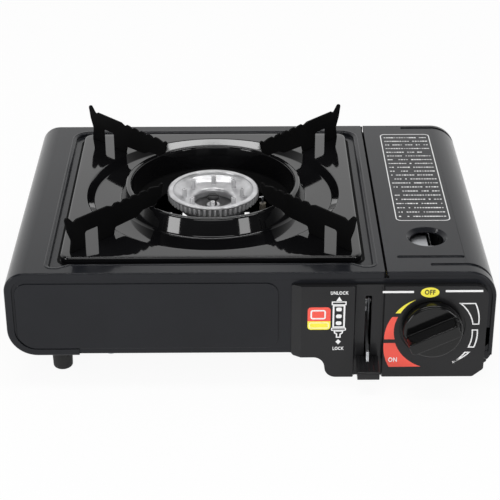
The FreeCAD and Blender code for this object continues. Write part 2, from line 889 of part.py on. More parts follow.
def make_drip_tray():
    """Enamelled tray: square rim, round trough and the raised ring round the burner."""
    body = new_body("drip_tray")
    half, wall = S.tray_side / 2, S.tray_sheet
    inner = half - wall
    pad(body, "square", "XY", LEDGE_TOP, TRAY_TOP, box(-half, half, -half, half, S.tray_corner))
    pocket(body, "underside", "XY", LEDGE_TOP, TRAY_UNDER,
           box(-inner, inner, -inner, inner, S.tray_corner - wall))
    over, overlap = 1.0, 0.5
    hole = S.trough_radius + 2 * over
    pocket(body, "middle", "XY", TRAY_UNDER - over, TRAY_TOP + over, ("circle", 0, 0, hole))
    low = TRAY_TOP - S.trough_depth
    crest = TRAY_TOP + S.crest_rise
    foot_radius = S.crest_radius + S.bead_radius + S.wall_lean
    well = TRAY_TOP - S.well_depth
    shoulder = crest - S.bead_radius * 0.7
    path = [
        (S.well_hole, well, 0.0),
        (S.crest_radius - S.bead_radius - S.wall_lean / 2, well, 0.0),
        (S.crest_radius - S.bead_radius, shoulder, 0.0),
        (S.crest_radius - S.bead_radius / 2, crest, 0.0),
        (S.crest_radius + S.bead_radius / 2, crest, 0.0),
        (S.crest_radius + S.bead_radius, shoulder, 0.0),
        (foot_radius, low, 0.0),
        (S.trough_radius - S.trough_slope, low, 0.0),
        (S.trough_radius, TRAY_TOP, 0.0),
        (hole + overlap, TRAY_TOP, 0.0),
    ]
    revolve(body, "ring_and_trough", strip_outline(path, wall))
    place(body, S.burner_x, S.burner_y)
    return body


def blade_outline():
    """One pan-support blade, as (distance from the burner's axis, height above the tray)."""
    outer, inner = S.blade_outer, S.blade_inner
    leg_in = outer - S.leg_width - S.window_width
    foot_in = leg_in - S.leg_width
    top = S.blade_height
    crest_low = S.crest_rise + S.crest_clearance
    crest_out = S.crest_radius + 2 * S.bead_radius
    corners = [
        (outer, 0.0),
        (outer - 1.6, 9.0, 5.0),
        (outer + 1.6, 17.5, 6.0),
        (outer + 3.6, S.horn_height, S.horn_radius),
        (outer + 0.2, S.horn_height, 1.3),
        (outer - 4.4, top - 1.6, 1.5),
        (outer - 7.4, top, 1.0),
        (S.tooth_start + 4.6, top, 1.0),
    ]
    for number in range(int(float(S.tooth_count))):
        valley = S.tooth_start - S.tooth_pitch * number
        corners.append((valley, top - S.tooth_depth, 0.8))
        corners.append((valley - S.tooth_pitch * 0.28, top))
        corners.append((valley - S.tooth_pitch * 0.72, top - 0.3))
    corners += [
        (inner + S.tooth_pitch * 0.45, top - S.tooth_depth, 0.8),
        (inner + 1.8, top, 0.8),
        (inner - 0.4, top - 0.6, 1.0),
        (inner + 2.0, 14.0, 5.0),
        (S.crest_radius - 2 * S.bead_radius, crest_low, 1.5),
        (crest_out, crest_low, 2.0),
        (crest_out + 7.0, 6.0, 4.0),
        (foot_in - 1.5, 5.2, 1.5),
        (foot_in, 0.0),
        (leg_in, 0.0),
        (leg_in, S.window_height, 1.8),
        (leg_in + S.window_width, S.window_height, 1.8),
        (leg_in + S.window_width, 0.0),
    ]
    return corners


def make_blades():
    """Four equal blades, cut from one pattern, standing on the tray round the burner."""
    pattern = new_body("blade_pattern")
    half = S.blade_sheet / 2
    pad(pattern, "blank", "XZ", -half, half, blade_outline())
    blades = []
    for number in range(4):
        blade = grouped(f"pan_blade_{number + 1}", pattern)
        turn = FreeCAD.Rotation(FreeCAD.Vector(0, 0, 1), 45 + 90 * number)
        place(blade, S.burner_x, S.burner_y, TRAY_TOP, turn)
        blades.append(blade)
    return blades


def tube_angle():
    """Direction from the burner's axis towards the bend of the mixing tube, in degrees."""
    across = float(S.tube_corner_x - S.burner_x)
    along = float(S.tube_y - S.burner_y)
    return math.degrees(math.atan2(along, across))


def make_burner_cup():
    """Cast bowl under the cap, with the boss that takes the mixing tube."""
    body = new_body("burner_cup")
    lip, low, wall = S.cup_lip, S.cup_bottom, S.cup_wall
    wide, shoulder = S.cap_radius - lip, S.tube_height + lip
    revolve(body, "casting", [
        (0.0, low),
        (S.cup_neck, low),
        (S.cup_neck, shoulder),
        (wide, CAP_LOW - lip),
        (wide, CAP_LOW),
        (0.0, CAP_LOW),
    ])
    boss_end = S.cup_neck + S.boss_reach
    pad(body, "tube_boss", "YZ", 0.0, boss_end,
        ("circle", 0.0, S.tube_height, S.tube_height - low - S.cup_gap))
    post, over = S.screw_radius + 2.5, 1.0
    revolve(body, "cavity", [
        (post, CAP_LOW + over),
        (post, low + wall),
        (S.cup_neck - wall, low + wall),
        (S.cup_neck - wall, shoulder),
        (wide - wall, CAP_LOW - lip),
        (wide - wall, CAP_LOW + over),
    ], kind="Groove")
    bridge_gap = 0.6
    pocket(body, "post_top", "XY", BRIDGE_LOW - S.bridge_sheet - bridge_gap, CAP_LOW + over,
           ("circle", 0.0, 0.0, S.cup_neck - wall))
    pocket(body, "tube_bore", "YZ", S.tube_seat, boss_end + over,
           ("circle", 0.0, S.tube_height, S.tube_radius + S.running_gap))
    pocket(body, "gas_way", "YZ", post + wall / 2, S.tube_seat,
           ("circle", 0.0, S.tube_height, S.tube_radius - S.tube_wall))
    pocket(body, "screw_hole", "XY", low, CAP_LOW,
           ("circle", 0.0, 0.0, S.screw_radius + S.screw_gap))
    place(body, S.burner_x, S.burner_y, 0.0, FreeCAD.Rotation(FreeCAD.Vector(0, 0, 1), tube_angle()))
    return body


def make_burner_cap():
    """Cast cap: slotted rim, dished bowl, hollow posts and a bridge for the screw."""
    body = new_body("burner_cap")
    edge, top, low = S.cap_radius, S.cap_top, CAP_LOW
    bowl, hole = S.bowl_radius, S.cap_hole
    bowl_low = BRIDGE_LOW + 4.0
    chamfer = 0.8
    revolve(body, "casting", [
        (edge - chamfer, low),
        (edge, low + chamfer),
        (edge, top - chamfer),
        (edge - chamfer, top),
        (edge - S.rim_width, top),
        (bowl + 0.6, top - 2.6),
        (hole + 1.4, bowl_low),
        (hole, bowl_low - 1.6),
        (hole, BRIDGE_LOW),
        (hole + 2, BRIDGE_LOW),
        (hole + 3, bowl_low - 2.4),
        (bowl, low),
    ])
    over = 1.0
    post_base = low - 0.4
    post = pad(body, "post", "XY", post_base, S.post_top,
               ("circle", 0.0, S.post_circle, S.post_radius))
    bore = pocket(body, "post_bore", "XY", post_base - 4, S.post_top + over,
                  ("circle", 0.0, S.post_circle, S.post_bore))
    ring_of(body, "posts", [post, bore], S.post_count)
    half, reach = S.bridge_width / 2, hole + 1
    pad(body, "bridge", "XY", BRIDGE_LOW, BRIDGE_LOW + S.bridge_sheet,
        box(-half, half, -reach, reach))
    pocket(body, "screw_hole", "XY", BRIDGE_LOW - over, BRIDGE_LOW + S.bridge_sheet + over,
           ("circle", 0.0, 0.0, S.screw_radius + S.screw_gap))
    slot = pocket(body, "flame_slot", "XY", low - over, low + S.slot_height,
                  box(edge - S.slot_reach, edge + over, -S.slot_width / 2, S.slot_width / 2))
    ring_of(body, "flame_slots", [slot], S.slot_count)
    place(body, S.burner_x, S.burner_y)
    return body


def make_burner_screw():
    """Screw that clamps the cap to the cup and its bracket."""
    body = new_body("burner_screw")
    seat = BRIDGE_LOW + S.bridge_sheet
    end, top = S.cup_bottom - S.bracket_sheet - 1, seat + S.screw_head_height
    chamfer = 0.8
    revolve(body, "turned", [
        (0.0, end),
        (S.screw_radius, end),
        (S.screw_radius, seat),
        (S.screw_head, seat),
        (S.screw_head, top - chamfer),
        (S.screw_head - chamfer, top),
        (0.0, top),
    ])
    width, depth = 1.2, 1.2
    pocket(body, "driver_slot", "XY", top - depth, top + depth,
           box(-S.screw_head, S.screw_head, -width / 2, width / 2))
    place(body, S.burner_x, S.burner_y)
    return body


def make_burner_bracket():
    """Bent strip that carries the burner, with an arm for the electrode."""
    body = new_body("burner_bracket")
    half = S.bracket_width / 2
    top, low, wall = S.cup_bottom, S.shield_top, S.bracket_sheet
    spread, foot = S.cup_neck, S.cup_neck + 11
    path = [(-foot, low + wall, 0.0), (-spread, low + wall, 2.0), (-spread + 1, top, 3.0),
            (spread - 1, top, 3.0), (spread, low + wall, 2.0), (foot, low + wall, 0.0)]
    pad(body, "strip", "XZ", -half, half, strip_outline(path, wall))
    arm = S.insulator_radius + 2.5
    pad(body, "electrode_arm", "XY", top - wall, top, [
        (spread - 8, S.electrode_y - arm + 3),
        (S.electrode_x + arm, S.electrode_y - arm, arm - 0.5),
        (S.electrode_x + arm, S.electrode_y + arm, arm - 0.5),
        (spread - 8, S.electrode_y + arm + 3),
    ])
    pocket(body, "holes", "XY", top - wall - 1, top + 1,
           ("circle", S.electrode_x, S.electrode_y, S.insulator_radius + S.running_gap),
           ("circle", 0.0, 0.0, S.screw_radius + S.screw_gap))
    place(body, S.burner_x, S.burner_y)
    return body


def make_heat_shield():
    """Pressed plate that keeps the flame's heat off the floor."""
    body = new_body("heat_shield")
    half, inner = S.shield_side / 2, S.shield_side / 2 - S.tray_sheet
    corner = 6.0
    pad(body, "plate", "XY", BASE_TOP, S.shield_top, box(-half, half, -half, half, corner))
    pocket(body, "underside", "XY", BASE_TOP, S.shield_top - S.tray_sheet,
           box(-inner, inner, -inner, inner, corner - S.tray_sheet))
    place(body, S.burner_x, S.burner_y)
    return body


def make_mixing_tube():
    """Bent tube from the nozzle to the burner cup."""
    body = new_body("mixing_tube")
    angle = math.radians(tube_angle())
    centre = FreeCAD.Vector(float(S.burner_x), float(S.burner_y), 0)
    seat = centre + FreeCAD.Vector(math.cos(angle), math.sin(angle), 0) * (float(S.tube_seat) + 0.2)
    start = FreeCAD.Vector(float(S.tube_mouth_x), float(S.tube_y), 0)
    corner = FreeCAD.Vector(float(S.tube_corner_x), float(S.tube_y), 0)
    come, leave = (corner - start).normalize(), (seat - corner).normalize()
    turn = come.getAngle(leave)
    reach = float(S.tube_bend) * math.tan(turn / 2)
    before, after = corner - come * reach, corner + leave * reach
    inward = (leave - come).normalize()
    middle = corner + inward * float(S.tube_bend) * (1 / math.cos(turn / 2) - 1)
    path = new_sketch(body, "path", "XY", S.tube_height)
    path.addGeometry([Part.LineSegment(start, before), Part.Arc(before, middle, after),
                      Part.LineSegment(after, seat)], False)
    rules = at_point(0, 1, (S.tube_mouth_x, S.tube_y)) + at_point(2, 2, (seat.x, seat.y))
    rules += [(Sketcher.Constraint("Horizontal", 0), None)] + of_radius(1, S.tube_bend)
    rules += joins(0, 2, 1, 2, "Tangent") + joins(2, 1, 1, 1, "Tangent")
    apply_rules(path, rules)
    ring = new_sketch(body, "ring", "YZ", S.tube_mouth_x)
    draw(ring, [("circle", S.tube_y, S.tube_height, S.tube_radius),
                ("circle", S.tube_y, S.tube_height, S.tube_radius - S.tube_wall)])
    pipe = body.newObject("PartDesign::AdditivePipe", "pipe")
    pipe.Profile = ring
    pipe.Spine = path
    settle(body, pipe, 0.0, True)
    return body


def make_gas_nozzle():
    """Brass jet that blows gas into the mixing tube."""
    shank = rod("nozzle_shank", "X", S.tube_mouth_x + 6, S.tube_mouth_x + 16,
                (S.tube_y, S.tube_height), S.nozzle_radius)
    tip = rod("nozzle_tip_bar", "X", S.tube_mouth_x - 4, S.tube_mouth_x + 6,
              (S.tube_y, S.tube_height), S.nozzle_tip)
    return fused("gas_nozzle", shank, tip)


def make_regulator_body():
    """Die-cast pressure regulator, on two legs behind the front panel."""
    body = new_body("regulator_body")
    centre = (S.gas_x, S.gas_z)
    pad(body, "barrel", "XZ", S.regulator_front, S.regulator_back,
        ("circle", *centre, S.regulator_radius))
    offset = S.regulator_radius + 1
    pad(body, "legs", "XZ", PANEL_BACK, S.regulator_front + 8,
        ("circle", S.gas_x - offset, S.gas_z, S.regulator_leg),
        ("circle", S.gas_x + offset, S.gas_z, S.regulator_leg))
    boss_left = S.tube_mouth_x + 10
    pad(body, "outlet_boss", "YZ", boss_left, S.gas_x,
        ("circle", S.tube_y, S.tube_height, S.nozzle_radius + 2.5))
    pad(body, "diaphragm_seat", "XY", S.gas_z - S.regulator_radius - S.diaphragm_drop, S.gas_z,
        ("circle", S.gas_x, (S.regulator_front + S.regulator_back) / 2, S.diaphragm_radius - 2))
    pocket(body, "outlet_bore", "YZ", boss_left, boss_left + 6,
           ("circle", S.tube_y, S.tube_height, S.nozzle_radius + S.running_gap))
    pocket(body, "shaft_bore", "XZ", S.regulator_front, S.regulator_front + 10,
           ("circle", *centre, S.shaft_radius + S.running_gap))
    return body


def make_diaphragm_cap():
    """Domed cap under the regulator's diaphragm."""
    body = new_body("diaphragm_cap")
    top = S.gas_z - S.regulator_radius - S.diaphragm_drop
    low, edge, rim, flange = top - S.diaphragm_height, S.diaphragm_radius, 4.0, 3.0
    revolve(body, "turned", [
        (0.0, low),
        (edge - 2 * rim, low),
        (edge - rim, low + rim / 2),
        (edge - rim, top - flange),
        (edge, top - flange),
        (edge, top),
        (0.0, top),
    ])
    place(body, S.gas_x, (S.regulator_front + S.regulator_back) / 2)
    return body


def make_cartridge_seat():
    """Zinc-plated plate that the cartridge is pushed against, with a locating tongue."""
    body = new_body("cartridge_seat")
    half = S.seat_width / 2
    back = S.regulator_back + S.seat_sheet
    slot = S.carriage_width / 2 + 4
    pad(body, "plate", "XZ", S.regulator_back, back, [
        (S.gas_x - half, S.seat_top, 8.0),
        (S.gas_x - half, GAS_TOP),
        (S.gas_x - slot, GAS_TOP),
        (S.gas_x - slot, GAS_TOP + 5, 1.5),
        (S.gas_x + slot, GAS_TOP + 5, 1.5),
        (S.gas_x + slot, GAS_TOP),
        (S.gas_x + half, GAS_TOP),
        (S.gas_x + half, S.seat_top, 8.0),
    ])
    pocket(body, "inlet_hole", "XZ", S.regulator_back, back,
           ("circle", S.gas_x, S.gas_z, S.seat_hole))
    tongue_right = S.gas_x + 1
    pad(body, "tongue", "XY", S.seat_top - S.seat_sheet, S.seat_top,
        box(tongue_right - S.tongue_width, tongue_right, S.regulator_back,
            S.regulator_back + S.tongue_reach))
    return body


def make_inlet_collar():
    """Brass socket that takes the cartridge's valve."""
    centre, back = (S.gas_x, S.gas_z), S.regulator_back + S.inlet_length
    seat = S.regulator_back + S.seal_height
    outer = rod("collar_bar", "Y", S.regulator_back, back, centre,
                S.inlet_radius + S.inlet_wall)
    socket = rod("collar_socket", "Y", seat, back, centre, S.inlet_radius)
    recess = rod("collar_recess", "Y", S.regulator_back, seat, centre, S.seal_radius)
    return cut("inlet_collar", outer, fused("collar_bore", socket, recess))


def make_inlet_seal():
    """Rubber washer at the bottom of the socket."""
    centre, back = (S.gas_x, S.gas_z), S.regulator_back + S.seal_height
    outer = rod("seal_bar", "Y", S.regulator_back, back, centre, S.seal_radius - S.running_gap)
    inner = rod("seal_bore", "Y", S.regulator_back, back, centre, S.seal_radius / 2)
    return cut("inlet_seal", outer, inner)


def make_knob_shaft():
    """Shaft from the knob into the regulator's valve."""
    start = FASCIA_FRONT - S.knob_gap - S.knob_disc - 4
    return rod("knob_shaft", "Y", start, S.regulator_front + 9.5, (S.gas_x, S.gas_z),
               S.shaft_radius)


def knob_placement(body, y, angle):
    """Turn a body's Z axis towards the user, then turn it about that axis."""
    face_user = FreeCAD.Rotation(FreeCAD.Vector(1, 0, 0), 90)
    spin = FreeCAD.Rotation(FreeCAD.Vector(0, 0, 1), angle)
    place(body, S.gas_x, y, S.gas_z, face_user * spin)


def make_control_knob():
    """Round knob with a grip bar right across it."""
    body = new_body("control_knob")
    disc, hub = S.knob_disc, S.shaft_radius + 3.5
    draft, chamfer = 0.4, 1.3
    revolve(body, "disc", [
        (0.0, 0.0),
        (S.knob_radius, 0.0),
        (S.knob_radius - draft, disc - chamfer),
        (S.knob_radius - draft - chamfer, disc),
        (0.0, disc),
    ])
    before = volume_of(body)
    foot = new_sketch(body, "grip_foot", "XY", disc - 1)
    half_long, half_wide = S.grip_length / 2, S.grip_width / 2
    draw(foot, [box(-half_long, half_long, -half_wide, half_wide, 3.0)])
    crown = new_sketch(body, "grip_crown", "XY", S.knob_height)
    short, slim = half_long - 1.5, half_wide - S.grip_draft
    draw(crown, [box(-short, short, -slim, slim, 2.6)])
    grip = body.newObject("PartDesign::AdditiveLoft", "grip")
    grip.Profile = foot
    grip.Sections = [crown]
    settle(body, grip, before, True)
    pocket(body, "hollow", "XY", 0.0, disc - 2.5,
           ("circle", 0.0, 0.0, S.knob_radius - 2.2), ("circle", 0.0, 0.0, hub))
    pocket(body, "shaft_hole", "XY", 0.0, disc + 4,
           ("circle", 0.0, 0.0, S.shaft_radius + S.running_gap / 2))
    knob_placement(body, FASCIA_FRONT - S.knob_gap, float(S.knob_turn))
    return body


def make_igniter_cam():
    """Cam on the shaft whose lobe trips the piezo unit."""
    body = new_body("igniter_cam")
    pad(body, "disc", "XY", 0.0, S.cam_sheet, ("circle", 0.0, 0.0, S.cam_radius))
    pad(body, "lobe", "XY", 0.0, S.cam_sheet, box(0.0, S.cam_lobe - 0.4, -3.0, 3.0, 1.4))
    pocket(body, "bore", "XY", 0.0, S.cam_sheet,
           ("circle", 0.0, 0.0, S.shaft_radius + S.running_gap / 2))
    knob_placement(body, PANEL_BACK + S.piezo_side / 2 + S.cam_sheet / 2, 165.0)
    return body


def make_piezo_igniter():
    """Piezo unit on the front panel, above the cam."""
    centre_x, centre_y = S.gas_x - 9, PANEL_BACK + S.piezo_side / 2
    half = S.piezo_side / 2
    case = block("piezo_case", centre_x - half, centre_x + half, PANEL_BACK,
                 PANEL_BACK + S.piezo_side, S.piezo_low, S.piezo_top)
    plunger = rod("piezo_plunger", "Z", S.plunger_low, S.piezo_low + 1, (centre_x, centre_y),
                  S.plunger_radius)
    return fused("piezo_igniter", case, plunger)


def make_igniter_lead():
    """High-voltage lead: straight runs joined by arcs as large as the runs allow."""
    points = [FreeCAD.Vector(*spot) for spot in LEAD_ROUTE]
    edges, radii, here = [], [], points[0]
    for before, corner, after in zip(points, points[1:], points[2:]):
        come, leave = corner - before, after - corner
        shorter = min(come.Length, leave.Length)
        come.normalize()
        leave.normalize()
        turn = come.getAngle(leave)
        reach = 0.45 * shorter
        radius = reach / math.tan(turn / 2)
        radii.append(round(radius, 1))
        start, end = corner - come * reach, corner + leave * reach
        inward = (leave - come).normalize()
        middle = corner + inward * radius * (1 / math.cos(turn / 2) - 1)
        edges.append(Part.LineSegment(here, start).toShape())
        edges.append(Part.Arc(start, middle, end).toShape())
        here = end
    edges.append(Part.LineSegment(here, points[-1]).toShape())
    path = Part.Wire(edges)
    first_way = (points[1] - points[0]).normalize()
    section = Part.Wire(Part.makePolygon(ring_points(points[0], first_way, LEAD_SIDES)).Edges)
    solid = path.makePipeShell([section], True, False)
    if solid.Volume < 0:
        solid.reverse()
    share = solid.Volume / (Part.Face(section).Area * path.Length)
    print("igniter lead: bend radii", radii, "length", round(path.Length, 1),
          "volume share", round(share, 4))
    lead = doc.addObject("Part::Feature", "igniter_lead")
    lead.Label = "igniter_lead"
    lead.Shape = solid
    lead.Placement = FreeCAD.Placement()
    return lead


def ring_points(centre, way, sides):
    """Corners of the lead's section, an even polygon square to a direction."""
    across = way.cross(FreeCAD.Vector(0, 0, 1)).normalize() * float(S.lead_radius)
    turns = [FreeCAD.Rotation(way, 360 * (side + 0.5) / sides) for side in range(sides)]
    corners = [centre + turn.multVec(across) for turn in turns]
    return corners + corners[:1]


def make_lead_grommet():
    """Rubber grommet where the lead passes through the partition."""
    body = new_body("lead_grommet")
    spot = LEAD_ROUTE[3]
    inner, neck, rim = S.lead_radius + 0.1, 2.5 * S.lead_radius, 3.6 * S.lead_radius
    lip = 1.0
    revolve(body, "turned", [
        (inner, -lip),
        (rim, -lip),
        (rim, 0.0),
        (neck, 0.0),
        (neck, S.sheet),
        (rim, S.sheet),
        (rim, S.sheet + lip),
        (inner, S.sheet + lip),
    ])
    place(body, S.partition_x, spot[1], spot[2], FreeCAD.Rotation(FreeCAD.Vector(0, 1, 0), 90))
    return body


def make_electrode_insulator():
    """Ceramic tube on the bracket's arm."""
    centre = (S.burner_x + S.electrode_x, S.burner_y + S.electrode_y)
    tube = rod("insulator_bar", "Z", S.insulator_low, S.insulator_top, centre,
               S.insulator_radius)
    collar = rod("insulator_collar", "Z", S.cup_bottom, S.cup_bottom + 4, centre,
                 S.insulator_radius + 1.2)
    bore = rod("insulator_bore", "Z", S.insulator_low + 2, S.insulator_top, centre,
               S.electrode_radius + S.running_gap)
    return cut("electrode_insulator", fused("insulator_blank", tube, collar), bore)


def make_electrode():
    """Spark wire: up out of the ceramic, then towards the flame slots."""
    x, y = S.burner_x + S.electrode_x, S.burner_y + S.electrode_y
    stem = rod("electrode_stem", "Z", S.insulator_low + 2, S.electrode_top, (x, y),
               S.electrode_radius)
    point = doc.addObject("Part::Cone", "electrode_point")
    put(point, "Radius1", S.electrode_radius)
    put(point, "Radius2", S.electrode_radius / 2)
    put(point, "Height", S.electrode_reach)
    away = FreeCAD.Vector(-float(S.electrode_x), -float(S.electrode_y), 0)
    place(point, x, y, S.electrode_top - S.electrode_radius,
          FreeCAD.Rotation(FreeCAD.Vector(0, 0, 1), away))
    return fused("electrode", stem, point)


def make_lever_bracket():
    """Steel bracket on the front panel that carries the lever's pivot."""
    body = new_body("lever_bracket")
    left, wall = S.lever_x - 4.8, 1.4
    low, top = S.pivot_z - 9, S.pivot_z + 9
    pad(body, "cheek", "YZ", left, left + wall,
        box(PANEL_BACK, S.pivot_y + 8, low, top, 0.0))
    pad(body, "foot", "XZ", PANEL_BACK, PANEL_BACK + wall, box(left - 5, left + wall, low, top))
    pocket(body, "pivot_hole", "YZ", left, left + wall,
           ("circle", S.pivot_y, S.pivot_z, S.pivot_radius))
    return body


def make_lever_pivot_pin():
    """Shouldered pivot pin, headed behind the bracket."""
    centre = (S.pivot_y, S.pivot_z)
    bracket_left = S.lever_x - 4.8
    head = rod("pin_head", "X", bracket_left - 1.6, bracket_left, centre, S.pivot_radius + 1.5)
    shank = rod("pin_shank", "X", bracket_left, PIVOT_RIGHT, centre,
                S.pivot_radius - S.running_gap)
    shoulder = rod("pin_shoulder", "X", bracket_left + 1.4, S.lever_x - S.lever_sheet / 2 - 0.1,
                   centre, S.pivot_radius + 1.5)
    return fused("lever_pivot_pin", head, shank, shoulder)


def lever_finger():
    """The lever's outer end inside its tip, as (Y, Z) corners from upper rear to lower rear."""
    return [
        (PANEL_FRONT - 7.3, 24.6, 2.0),
        (PANEL_FRONT - 10.8, 17.9, 1.0),
        (PANEL_FRONT - 18.0, 16.6, 1.0),
        (PANEL_FRONT - 18.0, 13.2, 1.0),
        (PANEL_FRONT - 6.8, 15.0, 2.0),
    ]


def make_lock_lever():
    """Steel lever at LOCK: arm through the slot, hub, and the pin that drives the carriage."""
    body = new_body("lock_lever")
    left, right = S.lever_x - S.lever_sheet / 2, PIVOT_RIGHT
    angle = math.radians(float(S.lever_lock))
    half_y = S.arm_width / 2 * math.sin(angle)
    half_z = S.arm_width / 2 * math.cos(angle)
    pad(body, "arm", "YZ", left, right, [
        (S.pivot_y - half_y, S.pivot_z + half_z),
        *lever_finger(),
        (PANEL_FRONT - 2.5, 20.4, 4.0),
        (S.pivot_y + half_y, S.pivot_z - half_z),
    ])
    pad(body, "hub", "YZ", left, right, ("circle", S.pivot_y, S.pivot_z, S.pivot_radius + 4.5))
    swing = math.radians(float(S.lever_lock + S.lever_unlock) / 2)
    drive = (S.pivot_y - S.drive_arm * math.sin(swing), S.pivot_z + S.drive_arm * math.cos(swing))
    pad(body, "drive_boss", "YZ", left, right, ("circle", *drive, S.drive_pin + 2.2))
    pad(body, "drive_pin", "YZ", right, right + 3.0, ("circle", *drive, S.drive_pin))
    pocket(body, "pivot_hole", "YZ", left, right, ("circle", S.pivot_y, S.pivot_z, S.pivot_radius))
    return body


def make_lever_tip():
    """Moulded finger pad pushed on the lever's end, ribbed on top."""
    body = new_body("lever_tip")
    half = S.tip_width / 2
    rear, nose = PANEL_FRONT - 4.1, PANEL_FRONT - 23.2
    top_rear, top_nose = 20.0, 16.8
    pad(body, "pad_block", "YZ", S.lever_x - half, S.lever_x + half, [
        (rear, top_rear, 0.8),
        (nose, top_nose, 1.6),
        (nose, 11.0, 1.6),
        (nose + 5, 10.2, 1.5),
        (rear, 13.6, 1.0),
    ])
    slack = 0.1
    side = S.lever_sheet / 2 + slack
    corners = lever_finger()
    pocket(body, "lever_socket", "YZ", S.lever_x - side, S.lever_x + side, [
        (PANEL_FRONT - 3.0, 27.0),
        (corners[0][0] - slack, corners[0][1] + slack),
        (corners[1][0] - slack, corners[1][1] + slack),
        (corners[2][0] - slack, corners[2][1] + slack),
        (corners[3][0] - slack, corners[3][1] - slack),
        (corners[4][0] + slack, corners[4][1] - slack),
        (PANEL_FRONT - 3.0, 16.0),
    ])
    groove, count = 1.6, 5
    pitch = S.tip_width / count
    first = S.lever_x - half + pitch / 2
    drop = (top_rear - top_nose) / (rear - nose)
    for number in range(count - 1):
        left = first + pitch * number + (pitch - groove) / 2
        pocket(body, f"groove_{number + 1}", "YZ", left, left + groove, [
            (rear + 1, top_rear + 3),
            (nose + 3, top_rear + 3),
            (nose + 3, top_nose + 3 * drop - S.tip_rib),
            (rear + 1, top_rear + drop - S.tip_rib),
        ])
    return body


def make_cartridge_carriage():
    """Slide under the cartridge: driven by the lever, it pushes or frees the cartridge."""
    body = new_body("cartridge_carriage")
    low = GAS_TOP + S.carriage_gap
    top = low + S.carriage_sheet
    half = S.carriage_width / 2
    arm_near, arm_far = S.pivot_y - 8.5, S.pivot_y + 7.5
    push_back = PUSHER_FRONT + S.carriage_sheet
    tab_left = PIVOT_RIGHT + 0.4
    pad(body, "slide", "XY", low, top, box(S.gas_x - half, S.gas_x + half, arm_near, push_back))
    pad(body, "cross_arm", "XY", low, top, box(tab_left, S.gas_x, arm_near, arm_far))
    swing = math.radians(float(S.lever_lock + S.lever_unlock) / 2)
    drive_y = S.pivot_y - S.drive_arm * math.sin(swing)
    drive_low = S.pivot_z + S.drive_arm * math.cos(swing)
    drive_high = S.pivot_z + S.drive_arm
    gap = S.drive_pin + S.drive_gap
    rim = S.carriage_sheet + S.drive_gap
    pad(body, "drive_tab", "YZ", tab_left, tab_left + S.carriage_sheet,
        box(arm_near, drive_y + gap + 2 * rim, low, drive_high + gap + rim))
    pocket(body, "drive_slot", "YZ", tab_left, tab_left + S.carriage_sheet,
           box(drive_y - gap, drive_y + gap, drive_low - gap, drive_high + gap, 1.0))
    wide = S.pusher_width / 2
    pad(body, "pusher", "XZ", PUSHER_FRONT, push_back,
        box(S.gas_x - wide, S.gas_x + wide, low, S.pusher_top))
    return body


def make_cartridge_rails():
    """Two pressed rails that cradle the cartridge."""
    rails = []
    for side, sign in (("left", -1), ("right", 1)):
        body = new_body(f"{side}_rail_blank")
        middle = S.gas_x + sign * S.rail_offset
        half = S.rail_width / 2
        pad(body, "ridge", "XZ", S.regulator_back + 16, PUSHER_FRONT - S.rail_end_gap, [
            (middle - half, GAS_TOP),
            (middle + half, GAS_TOP),
            (middle + half / 2, GAS_TOP + S.rail_height, 1.5),
            (middle - half / 2, GAS_TOP + S.rail_height, 1.5),
        ])
        rails.append(body)
    return grouped("cartridge_rails", *rails)


def cover_band(depth, start_x, end_z):
    """The outline between the cover's outer face and a depth inside, over its right corner."""
    top, right, bend = S.case_top, RIGHT, S.cover_corner
    return [
        (start_x, top - depth),
        (start_x, top + 1),
        (right + 1, top + 1, bend + 1),
        (right + 1, end_z),
        (right - depth, end_z),
        (right - depth, top - depth, bend - depth),
    ]


def make_compartment_cover():
    """Hinged cover: top and right side in one sheet, hemmed edges, sight hole and grooves."""
    body = new_body("compartment_cover")
    wall, hem, over = S.sheet, S.cover_hem, 1.0
    pad(body, "wrap", "XZ", FRONT, BACK, [
        (COVER_LEFT, S.case_top),
        (COVER_LEFT, S.cover_low),
        (RIGHT, S.cover_low),
        (RIGHT, S.case_top, S.cover_corner),
    ])
    pocket(body, "inside", "XZ", FRONT + wall, BACK - wall, [
        (COVER_LEFT + wall, S.case_top - wall),
        (COVER_LEFT + wall, S.cover_low),
        (RIGHT - wall, S.cover_low),
        (RIGHT - wall, S.case_top - wall, S.cover_corner - wall),
    ])
    pocket(body, "mouth", "XZ", FRONT - over, BACK + over, [
        (COVER_LEFT - over, S.case_top - hem),
        (COVER_LEFT - over, S.cover_low - over),
        (RIGHT - wall, S.cover_low - over),
        (RIGHT - wall, S.cover_low + 2 * wall),
        (RIGHT - hem, S.cover_low + 2 * wall),
        (RIGHT - hem, S.case_top - hem, S.cover_corner - hem),
    ])
    depth, half = S.groove_depth, S.groove_width / 2
    backing = depth + wall
    for name, middle in (("front", FRONT + S.front_groove_inset),
                         ("back", BACK - S.back_groove_inset)):
        pad(body, f"{name}_bulge", "XZ", middle - half - wall, middle + half + wall,
            inner_band(wall / 2, backing, S.groove_start - wall, S.groove_end - wall))
        pocket(body, f"{name}_groove", "XZ", middle - half, middle + half,
               cover_band(depth, S.groove_start, S.groove_end))
    middle = FRONT + S.short_groove_inset
    pad(body, "short_bulge", "XY", S.case_top - backing, S.case_top - wall / 2,
        box(S.short_groove_left - wall, S.short_groove_right + wall, middle - half - wall,
            middle + half + wall, half))
    pocket(body, "short_groove", "XY", S.case_top - depth, S.case_top + over,
           box(S.short_groove_left, S.short_groove_right, middle - half, middle + half,
               half - 0.05))
    sight_hole(body)
    hinge_knuckles(body)
    return body


def inner_band(outer_depth, inner_depth, start_x, end_z):
    """The outline between two depths inside the cover's outer face."""
    top, right, bend = S.case_top, RIGHT, S.cover_corner
    return [
        (start_x, top - inner_depth),
        (start_x, top - outer_depth),
        (right - outer_depth, top - outer_depth, bend - outer_depth),
        (right - outer_depth, end_z),
        (right - inner_depth, end_z),
        (right - inner_depth, top - inner_depth, bend - inner_depth),
    ]


